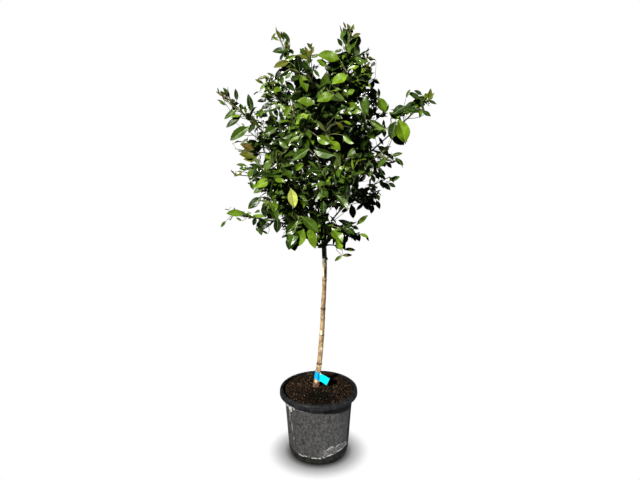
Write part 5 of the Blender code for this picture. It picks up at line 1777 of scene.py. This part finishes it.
# A darker, greener patch in front of the stem, where few crumbs lie
dark_patch = use_group(tree, spot, Place=(DARK_PATCH_X, DARK_PATCH_Y, SOIL_TOP), Radius=0.070, Tall=1.0)
dress(tree, sockets, add_mix(dark_patch["Mask"] * 0.70, tone["Colour"], (0.0018, 0.0021, 0.0008)), 420.0, 0.0012)
finish_piece("compost_top", mesh_of("compost_top", bm, 180.0), earth, ["compost"])

# %% Crumbs
CRUMB_KINDS = (  # Name, number, least and greatest radius, and the two colours of its tone
    ("crumbs_dark", 1500, 0.0012, 0.0050, (0.003, 0.0022, 0.0015), (0.014, 0.009, 0.005)),
    ("crumbs_bark", 1300, 0.0009, 0.0038, (0.020, 0.011, 0.006), (0.078, 0.046, 0.024)),
    ("crumbs_pale", 240, 0.0008, 0.0019, (0.22, 0.19, 0.13), (0.42, 0.38, 0.30)),
)
STEM_X, STEM_Y = -0.0105, 0.031
ROUND_THE_STEM = 0.016


def crumb_arrays(dice, count, small, large):
    bm = bmesh.new()
    bmesh.ops.create_icosphere(bm, subdivisions=1, radius=1.0)
    points, corners, counts = arrays_of(bm)
    many = []
    while len(many) < count:
        x, y = dice.uniform(-SOIL_EDGE, SOIL_EDGE), dice.uniform(-SOIL_EDGE, SOIL_EDGE)
        size = between(small, large, dice.random() ** 3)
        in_dark_patch = math.hypot(x - DARK_PATCH_X, y - DARK_PATCH_Y) < dice.uniform(0.040, 0.085) and dice.random() < 0.84
        in_stem = math.hypot(x - STEM_X, y - STEM_Y) < ROUND_THE_STEM
        if in_dark_patch or in_stem or math.hypot(x, y) > SOIL_EDGE - size * 1.3:
            continue
        turn = Matrix.Rotation(dice.uniform(0, math.tau), 3, "Z")
        turn @= Matrix.Rotation(dice.uniform(-0.6, 0.6), 3, "X")
        squash = np.diag([size * dice.uniform(*limits) for limits in ((0.8, 1.6), (0.6, 1.0), (0.4, 0.8))])
        knocked = points * np.array([[dice.uniform(0.8, 1.2)] for _ in points])
        middle = np.array((x, y, soil_height(x, y) + size * 0.15))
        many.append((knocked @ squash @ np.array(turn).T + middle, corners, counts))
    return many


dice = random.Random("crumbs")
for name, count, small, large, first, second in CRUMB_KINDS:
    paint, tree, sockets = new_material(name.replace("_", " "), 0.9, DULL)
    tone = use_group(tree, patchy, First=first, Second=second, Scale=140.0, Low=0.38, High=0.62)
    link(tone["Colour"], sockets["Base Color"])
    mesh = joined_mesh(name, crumb_arrays(dice, count, small, large))
    mesh.shade_flat()
    finish_piece(name, mesh, paint)

# %% [markdown]
# ## Label
# A strip of bright blue plastic is stuck round the stem and its two ends are pressed together into
# a flag, which droops to the right. A grid is wrapped: its first part goes round the stem, and its
# last part hangs out and down. It is given its thickness last. Nothing is written on it.

# %% Label
LABEL_WIDTH = 0.036
LABEL_BOTTOM = 0.329
LABEL_SLACK = 0.0009
LABEL_THICKNESS = 0.0006
LABEL_FLAG = 0.044
RING_SHARE = 0.62
FLAG_FOOT = math.radians(-62.0)
FLAG_BEARING = math.radians(-14.0)
FLAG_DROOP = math.tan(math.radians(26.0))
FLAG_SLANT = 0.24
FLAG_WAVE = 0.0022
FLAG_TWIST = 0.0030
ENDS_OVERLAP = 0.04
LABEL_STEPS = (64, 10)
low_ring = at_height(stem_run, LABEL_BOTTOM)
label_lean = (at_height(stem_run, LABEL_BOTTOM + LABEL_WIDTH).place - low_ring.place) / LABEL_WIDTH
ring_radius = low_ring.radius + LABEL_SLACK


def label_point(u, v):
    """A point of the strip: u goes round the stem and then out along the flag, v goes up."""
    if u < RING_SHARE:
        flat = heading(FLAG_FOOT - math.tau * (1 - u / RING_SHARE) + ENDS_OVERLAP) * ring_radius
    else:
        out = (u - RING_SHARE) / (1 - RING_SHARE)
        side = FLAG_WAVE * math.sin(out * math.pi) + FLAG_TWIST * out * out * (v - 0.5)
        flat = heading(FLAG_FOOT) * ring_radius + heading(FLAG_BEARING) * LABEL_FLAG * out
        flat -= heading(FLAG_BEARING) * (LABEL_WIDTH * FLAG_SLANT * (1 - v) * out)
        flat += heading(FLAG_BEARING + math.pi / 2) * side
    z = v * LABEL_WIDTH
    return low_ring.place + flat + Vector((label_lean.x * z, label_lean.y * z, z - FLAG_DROOP * flat.x))


bm = bmesh.new()
bmesh.ops.create_grid(bm, x_segments=LABEL_STEPS[0], y_segments=LABEL_STEPS[1], size=0.5)
for vert in bm.verts:
    vert.co = label_point(vert.co.x + 0.5, vert.co.y + 0.5)
bmesh.ops.recalc_face_normals(bm, faces=bm.faces)
bmesh.ops.solidify(bm, geom=bm.faces, thickness=LABEL_THICKNESS)
label_plastic, tree, sockets = new_material("label plastic", 0.38)
tone = use_group(tree, patchy, First=(0.0, 0.30, 0.57), Second=(0.002, 0.38, 0.66),
                 Scale=24.0, Low=0.35, High=0.65)
fold_place = low_ring.place + heading(FLAG_FOOT) * ring_radius + UP * LABEL_WIDTH / 2
x, _, _ = split(object_place(tree))
on_flag = add_range(x, fold_place.x - 0.001, fold_place.x + 0.003)
colour = add_mix(on_flag, tone["Colour"], (0.0, 0.60, 0.77))
# Painted shade along the fold where the strip turns out into the flag
folded = use_group(tree, spot, Place=tuple(fold_place), Radius=0.0050, Tall=6.0)
colour = add_mix(folded["Mask"] * 0.75, colour, (0.0, 0.10, 0.40))
glint_place = fold_place + heading(FLAG_BEARING) * 0.009 + UP * (LABEL_WIDTH / 2 - 0.0065)
colour = add_spots(tree, colour, [(tuple(glint_place), 0.0048, 0.7, (0.72, 0.86, 0.88))])
dress(tree, sockets, colour, 120.0, 0.0006)
finish_piece("label_strip", mesh_of("label_strip", bm, 40.0), label_plastic, ["label"])
